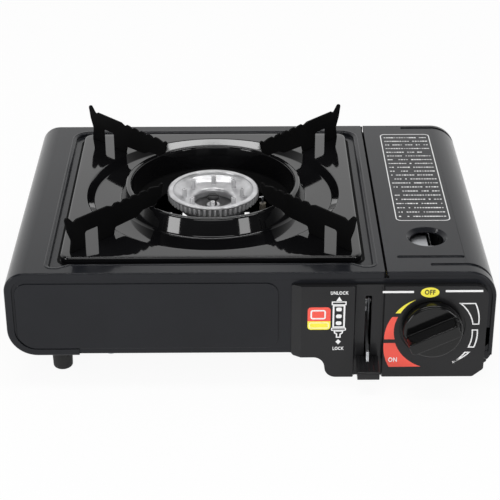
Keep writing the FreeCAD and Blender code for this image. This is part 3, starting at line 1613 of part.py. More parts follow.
def sight_hole(body):
    """Dished hole over the cartridge's neck."""
    wall, top = S.sheet, S.case_top
    pocket(body, "sight_opening", "XY", top - wall - 1, top + 1,
           ("circle", S.gas_x, S.sight_y, S.sight_dish))
    before = volume_of(body)
    dish = new_sketch(body, "dish_sketch", "XZ", S.sight_y)
    rim, low = S.gas_x + S.sight_dish + 0.6, top - S.sight_drop
    draw(dish, [[
        (rim, top),
        (rim, top - wall),
        (rim - 1.4, top - wall),
        (S.gas_x + S.sight_radius, low - wall * 0.6),
        (S.gas_x + S.sight_radius, low + wall * 0.4),
        (rim - 1.4, top),
    ]])
    start = FreeCAD.Vector(float(S.gas_x), 0, 0)
    end = FreeCAD.Vector(float(S.gas_x), 10, 0)
    axis = dish.addGeometry(Part.LineSegment(start, end), True)
    apply_rules(dish, at_point(axis, 1, (S.gas_x, 0.0)) + at_point(axis, 2, (S.gas_x, 10.0)))
    ring = body.newObject("PartDesign::Revolution", "dish")
    ring.Profile = dish
    ring.ReferenceAxis = (dish, ["Axis0"])
    ring.Angle = 360.0
    settle(body, ring, before, True)


def hinge_knuckles(body):
    """The cover's middle knuckles, carried by its right side."""
    gap = S.knuckle_gap
    for side, first_y in (("front", S.hinge_front_y), ("back", S.hinge_back_y)):
        near = first_y + S.knuckle_length + gap
        far = first_y + S.hinge_length - S.knuckle_length - gap
        pad(body, f"{side}_knuckle", "XZ", near, far,
            ("circle", S.hinge_x, S.cover_low, S.cover_knuckle))
        pad(body, f"{side}_leaf", "XZ", near, far,
            box(S.hinge_x + 0.3, RIGHT - S.sheet / 2, S.cover_low, S.cover_low + S.cover_knuckle))
        pocket(body, f"{side}_pin_bore", "XZ", near - 1, far + 1,
               ("circle", S.hinge_x, S.cover_low, S.hinge_pin + S.running_gap))


def make_hinge_pin(label, start):
    """A plain hinge pin."""
    return rod(label, "Y", start, start + S.hinge_length, (S.hinge_x, S.cover_low), S.hinge_pin)


def make_floor_screws():
    """Four pan-head screws from below, through the base into the panels' feet."""
    screws = []
    for x in (S.floor_screw_left, S.floor_screw_right):
        for y in (PANEL_BACK + S.return_flange / 2, REAR_FRONT - S.return_flange / 2):
            number = len(screws) + 1
            head = rod(f"screw_head_{number}", "Z", BASE_LOW - 1.8, BASE_LOW, (x, y),
                       S.floor_screw_head)
            shank = rod(f"screw_shank_{number}", "Z", BASE_LOW - 0.5, BASE_TOP + 5, (x, y),
                        S.floor_screw)
            screws.append(fused(f"floor_screw_{number}", head, shank))
    return grouped("floor_screws", *screws)


# Every sub-part, in the order it would be put together
tall, short = S.burner_floor, S.gas_floor
left_foot, near_foot, far_foot = LEFT + S.foot_inset, FRONT + S.foot_end, BACK - S.foot_end
parts = [
    make_burner_casing(),
    make_front_panel(),
    make_rear_panel(),
    make_base_tray(),
    make_partition_wall(),
    make_control_panel(),
    make_foot("foot_front_left", left_foot, near_foot, tall),
    make_foot("foot_back_left", left_foot, far_foot, tall),
    make_foot("foot_front_right", S.short_foot_x, near_foot, short),
    make_foot("foot_back_right", S.short_foot_x, far_foot, short),
    make_floor_screws(),
    make_heat_shield(),
    make_burner_bracket(),
    make_burner_cup(),
    make_burner_cap(),
    make_burner_screw(),
    make_mixing_tube(),
    make_gas_nozzle(),
    make_regulator_body(),
    make_diaphragm_cap(),
    make_inlet_collar(),
    make_inlet_seal(),
    make_cartridge_seat(),
    make_cartridge_rails(),
    make_piezo_igniter(),
    make_igniter_lead(),
    make_lead_grommet(),
    make_electrode_insulator(),
    make_electrode(),
    make_lever_bracket(),
    make_lever_pivot_pin(),
    make_hinge_pin("hinge_pin_front", S.hinge_front_y),
    make_hinge_pin("hinge_pin_back", S.hinge_back_y),
    make_lock_lever(),
    make_lever_tip(),
    make_cartridge_carriage(),
    make_control_knob(),
    make_knob_shaft(),
    make_igniter_cam(),
    make_compartment_cover(),
    make_drip_tray(),
    *make_blades(),
]

doc.recompute()
for item in doc.Objects:
    if "Invalid" in item.State or "Error" in item.State:
        raise RuntimeError(f"{item.Label} did not recompute: {item.State}")
for part in parts:
    if part.Shape.isNull() or not part.Shape.isValid():
        raise RuntimeError(f"{part.Label} has no valid shape")

os.makedirs("parts", exist_ok=True)
for part in parts:
    part.Shape.exportStep(f"parts/{part.Label}.step")
print(len(parts), "sub-parts written")
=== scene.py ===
"""Looks of a portable gas stove: finishes, prints and fine forms over its construction model."""

import json
import math

import bmesh
import bpy
from bpy.props import FloatProperty, FloatVectorProperty, IntProperty, PointerProperty
from mathutils import Matrix, Vector

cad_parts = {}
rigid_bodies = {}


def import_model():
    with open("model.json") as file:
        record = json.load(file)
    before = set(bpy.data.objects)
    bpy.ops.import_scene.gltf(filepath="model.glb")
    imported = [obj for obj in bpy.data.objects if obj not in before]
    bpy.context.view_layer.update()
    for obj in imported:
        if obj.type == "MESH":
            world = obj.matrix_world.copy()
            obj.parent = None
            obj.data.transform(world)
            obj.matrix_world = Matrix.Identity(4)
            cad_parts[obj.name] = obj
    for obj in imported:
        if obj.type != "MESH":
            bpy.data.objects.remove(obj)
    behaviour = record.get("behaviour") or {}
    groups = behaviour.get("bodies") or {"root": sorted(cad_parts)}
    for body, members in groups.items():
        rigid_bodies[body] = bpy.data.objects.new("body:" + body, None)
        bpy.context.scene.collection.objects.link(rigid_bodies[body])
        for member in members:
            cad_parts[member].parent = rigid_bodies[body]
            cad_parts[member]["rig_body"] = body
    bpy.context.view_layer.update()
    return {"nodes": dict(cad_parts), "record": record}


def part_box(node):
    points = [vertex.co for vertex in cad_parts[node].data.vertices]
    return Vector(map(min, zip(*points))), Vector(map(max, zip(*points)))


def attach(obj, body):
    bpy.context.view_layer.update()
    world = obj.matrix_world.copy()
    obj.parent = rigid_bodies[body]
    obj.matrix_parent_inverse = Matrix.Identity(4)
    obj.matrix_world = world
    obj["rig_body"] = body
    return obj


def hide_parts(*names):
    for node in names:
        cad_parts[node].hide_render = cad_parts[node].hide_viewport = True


bl_info = {
    "name": "Cassette stove looks",
    "version": (1, 0, 0),
    "blender": (4, 5, 0),
    "location": "View3D > Sidebar > Stove",
    "description": "Dresses the construction model of a portable gas stove",
    "category": "Object",
}

MM = 0.001
SAME_PLACE = 1e-5
FINISH = "_finish"
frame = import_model()
NODES = frame["nodes"]


def centre_of(node):
    """The middle of a node's box."""
    low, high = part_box(node)
    return (low + high) / 2


# Places that the frame gives
CAP_LOW, CAP_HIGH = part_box("burner_cap")
TRAY_LOW, TRAY_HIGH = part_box("drip_tray")
CASE_LOW, CASE_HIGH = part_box("burner_casing")
COVER_LOW, COVER_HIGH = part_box("compartment_cover")
BURNER = Vector((centre_of("burner_cap").x, centre_of("burner_cap").y, 0.0))
KNOB_AXIS = centre_of("knob_shaft")
CASE_TOP = CASE_HIGH.z
FASCIA_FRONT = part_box("control_panel")[0].y
TRAY_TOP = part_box("pan_blade_1")[0].z
LEDGE_TOP = CASE_TOP - 3.0 * MM

# Sizes that more than one piece uses
TRAY_CORNER = 7.0 * MM
TRAY_HALF = (TRAY_HIGH.x - TRAY_LOW.x) / 2
LEAD_RADIUS = 1.2 * MM

# Route of the igniter lead, from the piezo unit through the partition to the electrode
LEAD_ROUTE = [
    (0.1135, -0.1067, 0.0750),
    (0.1000, -0.1067, 0.0750),
    (0.0820, -0.1030, 0.0745),
    (0.0600, -0.1030, 0.0745),
    (0.0500, -0.0620, 0.0750),
    (0.0400, -0.0420, 0.0500),
    (0.0240, -0.0220, 0.0296),
    (0.0140, -0.0050, 0.0290),
    (0.0100, 0.0018, 0.0369),
    (0.0100, 0.0018, 0.0480),
]


# Settings that a user would change
def length_of(name, description, default):
    """A length property in metres."""
    return FloatProperty(name=name, description=description, default=default, unit="LENGTH",
                         precision=5)


def colour_of(name, description, default):
    """A colour property."""
    return FloatVectorProperty(name=name, description=description, default=default,
                               subtype="COLOR", size=3, min=0.0, max=1.0)


class StoveFinishes(bpy.types.PropertyGroup):
    """Colours of the stove's finishes."""

    case: colour_of("Case paint", "Satin coat of the sheet panels", (0.0105, 0.0112, 0.0138))
    # Painted shade: this colour stands for the shade in the cover's grooves, the gap round the
    # tray and the seam lip. It is not a coat of its own.
    groove_shade: colour_of("Groove paint", "Matte coat pooled in the grooves", (0.002, 0.002, 0.002))
    enamel: colour_of("Tray enamel", "Gloss enamel of the drip tray", (0.004, 0.004, 0.0045))
    blade: colour_of("Blade paint", "Matte heat-proof coat", (0.004, 0.004, 0.0042))
    casting: colour_of("Burner casting", "Bead-blasted aluminium", (0.60, 0.60, 0.61))
    zinc: colour_of("Zinc plate", "Bright plated steel", (0.56, 0.57, 0.59))
    moulding: colour_of("Panel plastic", "Satin black moulding", (0.0125, 0.0125, 0.0135))
    knob: colour_of("Knob plastic", "Gloss black moulding", (0.004, 0.004, 0.0042))
    print_white: colour_of("White print", "Lines and lettering", (0.86, 0.86, 0.86))
    print_red: colour_of("Red print", "Heat scale", (0.87, 0.10, 0.07))
    print_yellow: colour_of("Yellow print", "Start of the heat scale", (0.90, 0.80, 0.07))


class StoveTray(bpy.types.PropertyGroup):
    """Sizes of the pressed drip tray."""

    corner: length_of("Corner", "Radius of the tray's corners", TRAY_CORNER)
    fold: length_of("Fold", "Radius of the turned-down edge", 1.6 * MM)
    sheet: length_of("Sheet", "Thickness of the enamelled sheet", 0.8 * MM)
    trough: length_of("Trough", "Outer radius of the round trough", 96.2 * MM)
    slope: length_of("Slope", "Width of the trough's sloping side", 6.0 * MM)
    depth: length_of("Depth", "Depth of the trough", 4.5 * MM)
    crest: length_of("Crest", "Radius of the raised ring", 63.8 * MM)
    bead: length_of("Bead", "Radius of the ring's rounded top", 2.0 * MM)
    lean: length_of("Lean", "How far the ring's wall leans out", 4.2 * MM)
    well: length_of("Well", "Depth of the well below the tray's face", 10.3 * MM)
    well_fall: length_of("Well fall", "How far the well's floor falls to its hole", 4.5 * MM)
    well_hole: length_of("Well hole", "Radius of the hole for the burner", 45.0 * MM)
    side_steps: IntProperty(name="Side steps", description="Points along a side", default=52,
                            min=8)
    corner_steps: IntProperty(name="Corner steps", description="Points round a corner",
                              default=10, min=2)


class StoveBurner(bpy.types.PropertyGroup):
    """Sizes of the slotted burner cap."""

    rim: length_of("Rim", "Width of the bright top rim", 4.0 * MM)
    rim_height: length_of("Rim height", "Height of the rim over the slots", 1.7 * MM)
    bowl: length_of("Bowl", "Radius of the bowl's wall", 29.2 * MM)
    hole: length_of("Hole", "Radius of the middle hole", 15.0 * MM)
    slot_height: length_of("Slot height", "Height of the flame slots", 4.7 * MM)
    slot_width: length_of("Slot width", "Width of a flame slot", 2.3 * MM)
    slot_reach: length_of("Slot reach", "Depth of a flame slot", 2.4 * MM)
    slots: IntProperty(name="Slots", description="Flame slots round the rim", default=54, min=8)
    posts: IntProperty(name="Posts", description="Hollow posts in the bowl", default=8, min=3)
    post_circle: length_of("Post circle", "Radius of the ring of posts", 22.0 * MM)
    post_radius: length_of("Post radius", "Outer radius of a post", 1.7 * MM)
    post_bore: length_of("Post bore", "Radius of a post's hole", 0.9 * MM)
    post_depth: length_of("Post depth", "Depth of a post's hole", 3.0 * MM)


class StovePrint(bpy.types.PropertyGroup):
    """Sizes of the printed marks."""

    film: length_of("Film", "How far a print stands proud", 0.05 * MM)
    line: length_of("Line", "Width of the printed lines", 0.9 * MM)
    word: length_of("Word", "Height of the lettering", 3.5 * MM)
    rows: IntProperty(name="Rows", description="Rows of marks on the cover", default=21, min=2)
    marks: IntProperty(name="Marks", description="Marks along a row", default=17, min=2)
    seed: IntProperty(name="Seed", description="Pattern of the rows of marks", default=4)


class StoveEdges(bpy.types.PropertyGroup):
    """Edge rounding of pressed, cut and moulded pieces."""

    sheet: length_of("Sheet edge", "Rounding of a sheet's cut edge", 0.3 * MM)
    fold: length_of("Fold", "Rounding of the panels' outer folds", 1.3 * MM)
    groove_lip: length_of("Groove lip", "Rounding of the cover's pressed grooves", 0.9 * MM)
    # Width of the painted shadow round the tray.
    ledge_gap: length_of("Ledge gap", "Width of the dark gap round the tray", 2.4 * MM)
    bead_gap: length_of("Bead gap", "Distance of the pressed line from the recess", 1.8 * MM)
    bead_width: length_of("Bead width", "Width of the pressed line", 1.8 * MM)
    bead_height: length_of("Bead height", "Height of the pressed line", 0.4 * MM)
    recess: length_of("Recess", "Rounding of the recess's shoulder", 1.5 * MM)
    moulding: length_of("Moulding", "Rounding of moulded edges", 0.5 * MM)


class StoveStage(bpy.types.PropertyGroup):
    """Floor, backdrop and light."""

    floor: colour_of("Floor", "Colour of the floor", (0.90, 0.90, 0.90))
    key: FloatProperty(name="Key", description="Overhead soft light, in watts", default=8.0)
    fill: FloatProperty(name="Fill", description="Front soft light, in watts", default=8.0)
    strip: FloatProperty(name="Strip", description="Tall strip lights, in watts", default=5.5)
    ambient: FloatProperty(name="Ambient", description="Strength of the room", default=0.5)
    overhead: FloatProperty(name="Overhead", description="Share of the room's light above",
                            default=0.25)
    dark_side: FloatProperty(name="Dark side", default=0.06,
                             description="Room behind the camera, as gloss shows it")


# Shader groups that several finishes share
def new_group(name, inputs, outputs):
    """An empty shader group with named inputs and outputs."""
    group = bpy.data.node_groups.new(name, "ShaderNodeTree")
    for label, kind, default in inputs:
        socket = group.interface.new_socket(label, in_out="INPUT", socket_type=kind)
        socket.default_value = default
    for label, kind in outputs:
        group.interface.new_socket(label, in_out="OUTPUT", socket_type=kind)
    return group, group.nodes.new("NodeGroupInput"), group.nodes.new("NodeGroupOutput")


def speckle_group():
    """Broad shade and fine relief of a coated or moulded surface."""
    group, given, result = new_group(
        "surface_speckle",
        [("Broad Scale", "NodeSocketFloat", 18.0), ("Fine Scale", "NodeSocketFloat", 900.0)],
        [("Shade", "NodeSocketFloat"), ("Grain", "NodeSocketFloat"),
         ("Height", "NodeSocketFloat")])
    link = group.links.new
    place = group.nodes.new("ShaderNodeTexCoord")
    broad = group.nodes.new("ShaderNodeTexNoise")
    broad.inputs["Detail"].default_value = 3.0
    fine = group.nodes.new("ShaderNodeTexNoise")
    fine.inputs["Detail"].default_value = 2.0
    fine.inputs["Roughness"].default_value = 0.6
    spread = group.nodes.new("ShaderNodeMapRange")
    spread.inputs["From Min"].default_value = 0.32
    spread.inputs["From Max"].default_value = 0.68
    link(place.outputs["Object"], broad.inputs["Vector"])
    link(place.outputs["Object"], fine.inputs["Vector"])
    link(given.outputs["Broad Scale"], broad.inputs["Scale"])
    link(given.outputs["Fine Scale"], fine.inputs["Scale"])
    link(broad.outputs["Fac"], spread.inputs["Value"])
    link(spread.outputs["Result"], result.inputs["Shade"])
    link(fine.outputs["Fac"], result.inputs["Grain"])
    link(fine.outputs["Fac"], result.inputs["Height"])
    return group


def brushed_group():
    """Fine streaks along one axis, as rolled or drawn metal has."""
    group, given, result = new_group(
        "rolled_streaks",
        [("Scale", "NodeSocketFloat", 60.0), ("Stretch", "NodeSocketVector", (1.0, 14.0, 14.0))],
        [("Streak", "NodeSocketFloat"), ("Height", "NodeSocketFloat")])
    link = group.links.new
    place = group.nodes.new("ShaderNodeTexCoord")
    stretch = group.nodes.new("ShaderNodeVectorMath")
    stretch.operation = "MULTIPLY"
    streaks = group.nodes.new("ShaderNodeTexNoise")
    streaks.inputs["Detail"].default_value = 4.0
    link(place.outputs["Object"], stretch.inputs[0])
    link(given.outputs["Stretch"], stretch.inputs[1])
    link(stretch.outputs["Vector"], streaks.inputs["Vector"])
    link(given.outputs["Scale"], streaks.inputs["Scale"])
    link(streaks.outputs["Fac"], result.inputs["Streak"])
    link(streaks.outputs["Fac"], result.inputs["Height"])
    return group


def shared_group(name, maker):
    """A group that is built once."""
    return bpy.data.node_groups.get(name) or maker()


def new_material(name):
    """A material with its shader and two helpers for adding nodes and links."""
    material = bpy.data.materials.new(name + FINISH)
    material.use_nodes = True
    tree = material.node_tree
    return material, tree.nodes["Principled BSDF"], tree.nodes.new, tree.links.new


def varied(new, link, socket, factor, low, high):
    """Feed a socket with a value or colour that runs from low to high with a factor."""
    mix = new("ShaderNodeMix")
    if isinstance(low, (float, int)):
        mix.data_type = "FLOAT"
        ends = [item for item in mix.inputs if item.type == "VALUE" and item.name in ("A", "B")]
        result = next(item for item in mix.outputs if item.type == "VALUE")
        ends[0].default_value, ends[1].default_value = low, high
    else:
        mix.data_type = "RGBA"
        ends = [item for item in mix.inputs if item.type == "RGBA"]
        result = next(item for item in mix.outputs if item.type == "RGBA")
        ends[0].default_value, ends[1].default_value = (*low, 1.0), (*high, 1.0)
    link(factor, next(item for item in mix.inputs if item.name == "Factor"))
    link(result, socket)


def speckled(name, colour, rough, spread=0.25, grain=900.0, relief=0.02, broad=18.0, **sockets):
    """A coat or moulding: broad shade in its colour, grain in its gloss, fine relief."""
    material, shader, new, link = new_material(name)
    speckle = new("ShaderNodeGroup")
    speckle.node_tree = shared_group("surface_speckle", speckle_group)
    speckle.inputs["Broad Scale"].default_value = broad
    speckle.inputs["Fine Scale"].default_value = grain
    dark = tuple(part * (1 - spread) for part in colour)
    light = tuple(min(part * (1 + spread), 1.0) for part in colour)
    varied(new, link, shader.inputs["Base Color"], speckle.outputs["Shade"], dark, light)
    varied(new, link, shader.inputs["Roughness"], speckle.outputs["Grain"], rough * 0.85,
           min(rough * 1.15, 1.0))
    if relief:
        bump = new("ShaderNodeBump")
        bump.inputs["Strength"].default_value = 1.0
        bump.inputs["Distance"].default_value = relief * MM
        link(speckle.outputs["Height"], bump.inputs["Height"])
        link(bump.outputs["Normal"], shader.inputs["Normal"])
    for socket, value in sockets.items():
        shader.inputs[socket.replace("_", " ")].default_value = value
    return material


def rolled(name, colour, rough, stretch=(1.0, 14.0, 14.0), scale=60.0, relief=0.01):
    """Rolled or drawn metal with fine streaks."""
    material, shader, new, link = new_material(name)
    streaks = new("ShaderNodeGroup")
    streaks.node_tree = shared_group("rolled_streaks", brushed_group)
    streaks.inputs["Scale"].default_value = scale
    streaks.inputs["Stretch"].default_value = stretch
    dark = tuple(part * 0.8 for part in colour)
    varied(new, link, shader.inputs["Base Color"], streaks.outputs["Streak"], dark, colour)
    varied(new, link, shader.inputs["Roughness"], streaks.outputs["Streak"], rough * 0.7,
           rough * 1.3)
    bump = new("ShaderNodeBump")
    bump.inputs["Distance"].default_value = relief * MM
    link(streaks.outputs["Height"], bump.inputs["Height"])
    link(bump.outputs["Normal"], shader.inputs["Normal"])
    shader.inputs["Metallic"].default_value = 1.0
    return material


def make_finishes(look):
    """Make every finish of the stove, each named for its material slot or its use."""
    speckled("case_paint", look.case, 0.30, spread=0.1, grain=900.0,
             relief=0.002, IOR=1.2, Coat_Weight=0.45, Coat_Roughness=0.09,
             Coat_IOR=1.36)
    # Painted shade: near-black paint for the cover's grooves, the gap round the tray and the seam
    # lip.
    speckled("shade_paint", look.groove_shade, 0.62, spread=0.2, grain=1400.0,
             relief=0.02, IOR=1.15)
    speckled("tray_enamel", look.enamel, 0.06, spread=0.3, grain=260.0,
             relief=0.004, IOR=1.5, Coat_Weight=0.2, Coat_Roughness=0.03,
             Coat_IOR=1.45)
    # Blade paint also serves as painted shade on the tray's well floor and on the backs of the
    # flame slots.
    speckled("blade_paint", look.blade, 0.55, spread=0.3, grain=1600.0,
             relief=0.03, IOR=1.12)
    speckled("cast_aluminium", look.casting, 0.34, spread=0.14,
             grain=1500.0, relief=0.05, broad=120.0, Metallic=0.78)
    # Painted light: a less metallic copy of the cast aluminium, so the flame teeth and posts show
    # lit under the lamps.
    speckled("lit_casting", (0.62, 0.62, 0.63), 0.42, spread=0.12,
             grain=1500.0, relief=0.03, Metallic=0.35)
    # Painted shade: a near-black copy for the burner screw deep in the cap's middle hole, whose
    # plate is zinc.
    speckled("hole_shade_dark", (0.03, 0.03, 0.032), 0.6, grain=1200.0,
             relief=0.03, Metallic=0.3)
    rolled("zinc_steel", look.zinc, 0.38, relief=0.002)
    # Painted shade: a darker, rougher copy of the zinc plate for the heat shield and burner
    # bracket, which dims their reflections under the burner.
    rolled("shaded_zinc_steel", (0.20, 0.20, 0.205), 0.55, relief=0.002)
    speckled("grey_casting", (0.42, 0.43, 0.44), 0.48, spread=0.15,
             grain=1100.0, relief=0.06, Metallic=1.0)
    speckled("brass", (0.62, 0.45, 0.18), 0.28, spread=0.12, grain=700.0,
             relief=0.02, Metallic=1.0)
    speckled("panel_plastic", look.moulding, 0.32, spread=0.12,
             grain=1800.0, relief=0.004, IOR=1.3, Coat_Weight=0.25,
             Coat_Roughness=0.1, Coat_IOR=1.35)
    speckled("knob_plastic", look.knob, 0.12, spread=0.2, grain=500.0,
             relief=0.003, IOR=1.4)
    speckled("foot_rubber", (0.012, 0.012, 0.012), 0.7, grain=900.0,
             relief=0.05, IOR=1.4)
    speckled("seal_rubber", (0.02, 0.02, 0.02), 0.75, grain=900.0,
             relief=0.04, IOR=1.4)
    speckled("igniter_plastic", (0.035, 0.035, 0.04), 0.42,
             grain=1200.0, relief=0.02, IOR=1.45)
    speckled("lead_silicone", (0.45, 0.03, 0.022), 0.45, grain=800.0,
             relief=0.02, IOR=1.42)
    speckled("ceramic", (0.17, 0.15, 0.12), 0.22, spread=0.35, grain=400.0,
             relief=0.01, IOR=1.5)
    speckled("white_print", look.print_white, 0.42, spread=0.03,
             grain=1500.0, relief=0.004, IOR=1.45)
    speckled("red_print", look.print_red, 0.42, spread=0.04, grain=1500.0,
             relief=0.004, IOR=1.45)
    speckled("yellow_print", look.print_yellow, 0.42, spread=0.04,
             grain=1500.0, relief=0.004, IOR=1.45)
    speckled("cream_print", (0.93, 0.86, 0.42), 0.42, spread=0.03,
             grain=1500.0, relief=0.004, IOR=1.45)
    speckled("dark_print", (0.05, 0.045, 0.012), 0.45, spread=0.1,
             grain=1500.0, relief=0.004, IOR=1.45)


def finish(name):
    """A finish that the finishes operator has made."""
    return bpy.data.materials[name + FINISH]


# Mesh helpers
def new_object(name, mesh):
    """An object in the scene."""
    thing = bpy.data.objects.new(name, mesh)
    bpy.context.scene.collection.objects.link(thing)
    return thing


def mesh_from(edit, name, smooth=40.0):
    """A mesh from an edited one, smooth but for edges sharper than an angle."""
    for face in edit.faces:
        face.smooth = True
    mesh = bpy.data.meshes.new(name)
    edit.to_mesh(mesh)
    edit.free()
    mesh.set_sharp_from_angle(angle=math.radians(smooth))
    return mesh


def baked(thing):
    """The object's mesh with its modifiers applied."""
    bpy.context.view_layer.update()
    graph = bpy.context.evaluated_depsgraph_get()
    mesh = bpy.data.meshes.new_from_object(thing.evaluated_get(graph))
    old = thing.data
    thing.modifiers.clear()
    thing.data = mesh
    if old.users == 0:
        bpy.data.meshes.remove(old)
    return thing


def painted(thing, *finishes):
    """Give an object its finishes, in slot order."""
    thing.data.materials.clear()
    for name in finishes:
        thing.data.materials.append(finish(name))
    return thing


def settled(thing, body, slot, *replaced):
    """Let a finished piece ride on its body, and stand for the nodes it replaces."""
    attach(thing, body)
    if replaced:
        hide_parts(*replaced)
    return thing


def added(name, mesh, finish_name, body, slot):
    """Add a mesh as a finished piece."""
    return settled(painted(new_object(name, mesh), finish_name), body, slot)


def merged(node):
    """An edit mesh of a node with its triangles joined and its flats whole."""
    edit = bmesh.new()
    edit.from_mesh(NODES[node].data)
    bmesh.ops.remove_doubles(edit, verts=edit.verts, dist=2e-6)
    bmesh.ops.dissolve_limit(edit, angle_limit=math.radians(0.5), verts=edit.verts,
                             edges=edit.edges, use_dissolve_boundaries=False)
    edit.normal_update()
    return edit


def chained(edges):
    """The corners along a closed run of edges, in order."""
    left = set(edges[1:])
    start, here = edges[0].verts
    loop = [start.co.copy(), here.co.copy()]
    while left:
        following = next((item for item in here.link_edges if item in left), None)
        if following is None:
            break
        left.discard(following)
        here = following.other_vert(here)
        if here is not start:
            loop.append(here.co.copy())
    return loop


def at_recess(edge):
    """Whether an edge lies on the rim of the casing's recess."""
    return (len(edge.link_faces) == 2
            and min(abs(face.normal.z) for face in edge.link_faces) < 0.1
            and all(abs(vert.co.z - CASE_TOP) < SAME_PLACE
                    and CASE_LOW.x + 20 * MM < vert.co.x < CASE_HIGH.x - 4 * MM
                    and CASE_LOW.y + 4 * MM < vert.co.y < CASE_HIGH.y - 4 * MM
                    for vert in edge.verts))


def soften(edit, edges, width, steps=4):
    """Round chosen edges."""
    if edges:
        bmesh.ops.bevel(edit, geom=edges, offset=width, segments=steps, profile=0.5,
                        affect="EDGES", clamp_overlap=False)


def dressed(node, finish_name, width, prepare=None, steps=2, clamp=False, second=None,
            slot=None):
    """A node's own shape with rounded edges, in place of its plain mesh."""
    edit = merged(node)
    if prepare:
        prepare(edit)
    thing = new_object(node + "_dressed", mesh_from(edit, node + "_dressed", 35.0))
    bevel = thing.modifiers.new("edges", "BEVEL")
    bevel.width = width
    bevel.segments = steps
    bevel.limit_method = "ANGLE"
    bevel.angle_limit = math.radians(32.0)
    bevel.use_clamp_overlap = clamp
    bevel.harden_normals = True
    normals = thing.modifiers.new("normals", "WEIGHTED_NORMAL")
    normals.keep_sharp = True
    baked(thing)
    painted(thing, *([finish_name, second] if second else [finish_name]))
    return settled(thing, NODES[node]["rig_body"], slot or finish_name, node)


def turned(edit, profile, steps, centre=(0.0, 0.0)):
    """Add an open (radius, height) profile turned about a vertical axis, as rings of quads."""
    rings = []
    for radius, height in profile:
        ring = []
        for step in range(steps):
            angle = 2 * math.pi * step / steps
            ring.append(edit.verts.new((centre[0] + radius * math.cos(angle),
                                        centre[1] + radius * math.sin(angle), height)))
        rings.append(ring)
    for low, high in zip(rings, rings[1:]):
        for step in range(steps):
            after = (step + 1) % steps
            edit.faces.new((low[step], low[after], high[after], high[step]))
    return rings


def arc(centre, radius, start, end, steps):
    """Points on an arc, from one angle in degrees to another."""
    points = []
    for step in range(steps + 1):
        angle = math.radians(start + (end - start) * step / steps)
        points.append((centre[0] + radius * math.cos(angle),
                       centre[1] + radius * math.sin(angle)))
    return points


def rounded(corners, steps=5):
    """A path through (u, v, radius) corners, its inner corners rounded."""
    points = [corners[0][:2]]
    for before, corner, after in zip(corners, corners[1:], corners[2:]):
        here = Vector(corner[:2])
        come = (Vector(before[:2]) - here).normalized()
        leave = (Vector(after[:2]) - here).normalized()
        half = come.angle(leave) / 2
        if corner[2] == 0.0 or half > math.radians(89.5):
            points.append(tuple(here))
            continue
        reach = corner[2] / math.tan(half)
        start, end = here + come * reach, here + leave * reach
        middle = here + (come + leave).normalized() * corner[2] / math.sin(half)
        first, last = start - middle, end - middle
        for step in range(steps + 1):
            share = step / steps
            spot = first.lerp(last, share)
            points.append(tuple(middle + spot.normalized() * corner[2]))
    points.append(corners[-1][:2])
    return points


# Geometry Nodes helpers
def new_tree(name, inputs):
    """A geometry tree with its own geometry in and out, and named inputs."""
    tree = bpy.data.node_groups.new(name, "GeometryNodeTree")
    tree.interface.new_socket("Geometry", in_out="INPUT", socket_type="NodeSocketGeometry")
    for label, kind in inputs:
        tree.interface.new_socket(label, in_out="INPUT", socket_type=kind)
    tree.interface.new_socket("Geometry", in_out="OUTPUT", socket_type="NodeSocketGeometry")
    return tree, tree.nodes.new("NodeGroupInput"), tree.nodes.new("NodeGroupOutput")


def finish_tree(tree, instances, result, material):
    """End a tree in whole geometry with its material."""
    realize = tree.nodes.new("GeometryNodeRealizeInstances")
    paint = tree.nodes.new("GeometryNodeSetMaterial")
    paint.inputs["Material"].default_value = material
    tree.links.new(instances, realize.inputs["Geometry"])
    tree.links.new(realize.outputs["Geometry"], paint.inputs["Geometry"])
    tree.links.new(paint.outputs["Geometry"], result.inputs["Geometry"])


def ring_tree(material):
    """Copies of the object's mesh, evenly round a circle, each turned to face outwards."""
    tree, given, result = new_tree("ring_of_copies", [
        ("Count", "NodeSocketInt"), ("Radius", "NodeSocketFloat"),
        ("Centre", "NodeSocketVector")])
    link = tree.links.new
    circle = tree.nodes.new("GeometryNodeMeshCircle")
    place = tree.nodes.new("GeometryNodeInputPosition")
    face = tree.nodes.new("FunctionNodeAlignRotationToVector")
    face.axis = "X"
    copies = tree.nodes.new("GeometryNodeInstanceOnPoints")
    move = tree.nodes.new("GeometryNodeTransform")
    link(given.outputs["Count"], circle.inputs["Vertices"])
    link(given.outputs["Radius"], circle.inputs["Radius"])
    link(place.outputs["Position"], face.inputs["Vector"])
    link(circle.outputs["Mesh"], copies.inputs["Points"])
    link(given.outputs["Geometry"], copies.inputs["Instance"])
    link(face.outputs["Rotation"], copies.inputs["Rotation"])
    link(copies.outputs["Instances"], move.inputs["Geometry"])
    link(given.outputs["Centre"], move.inputs["Translation"])
    finish_tree(tree, move.outputs["Geometry"], result, material)
    return tree


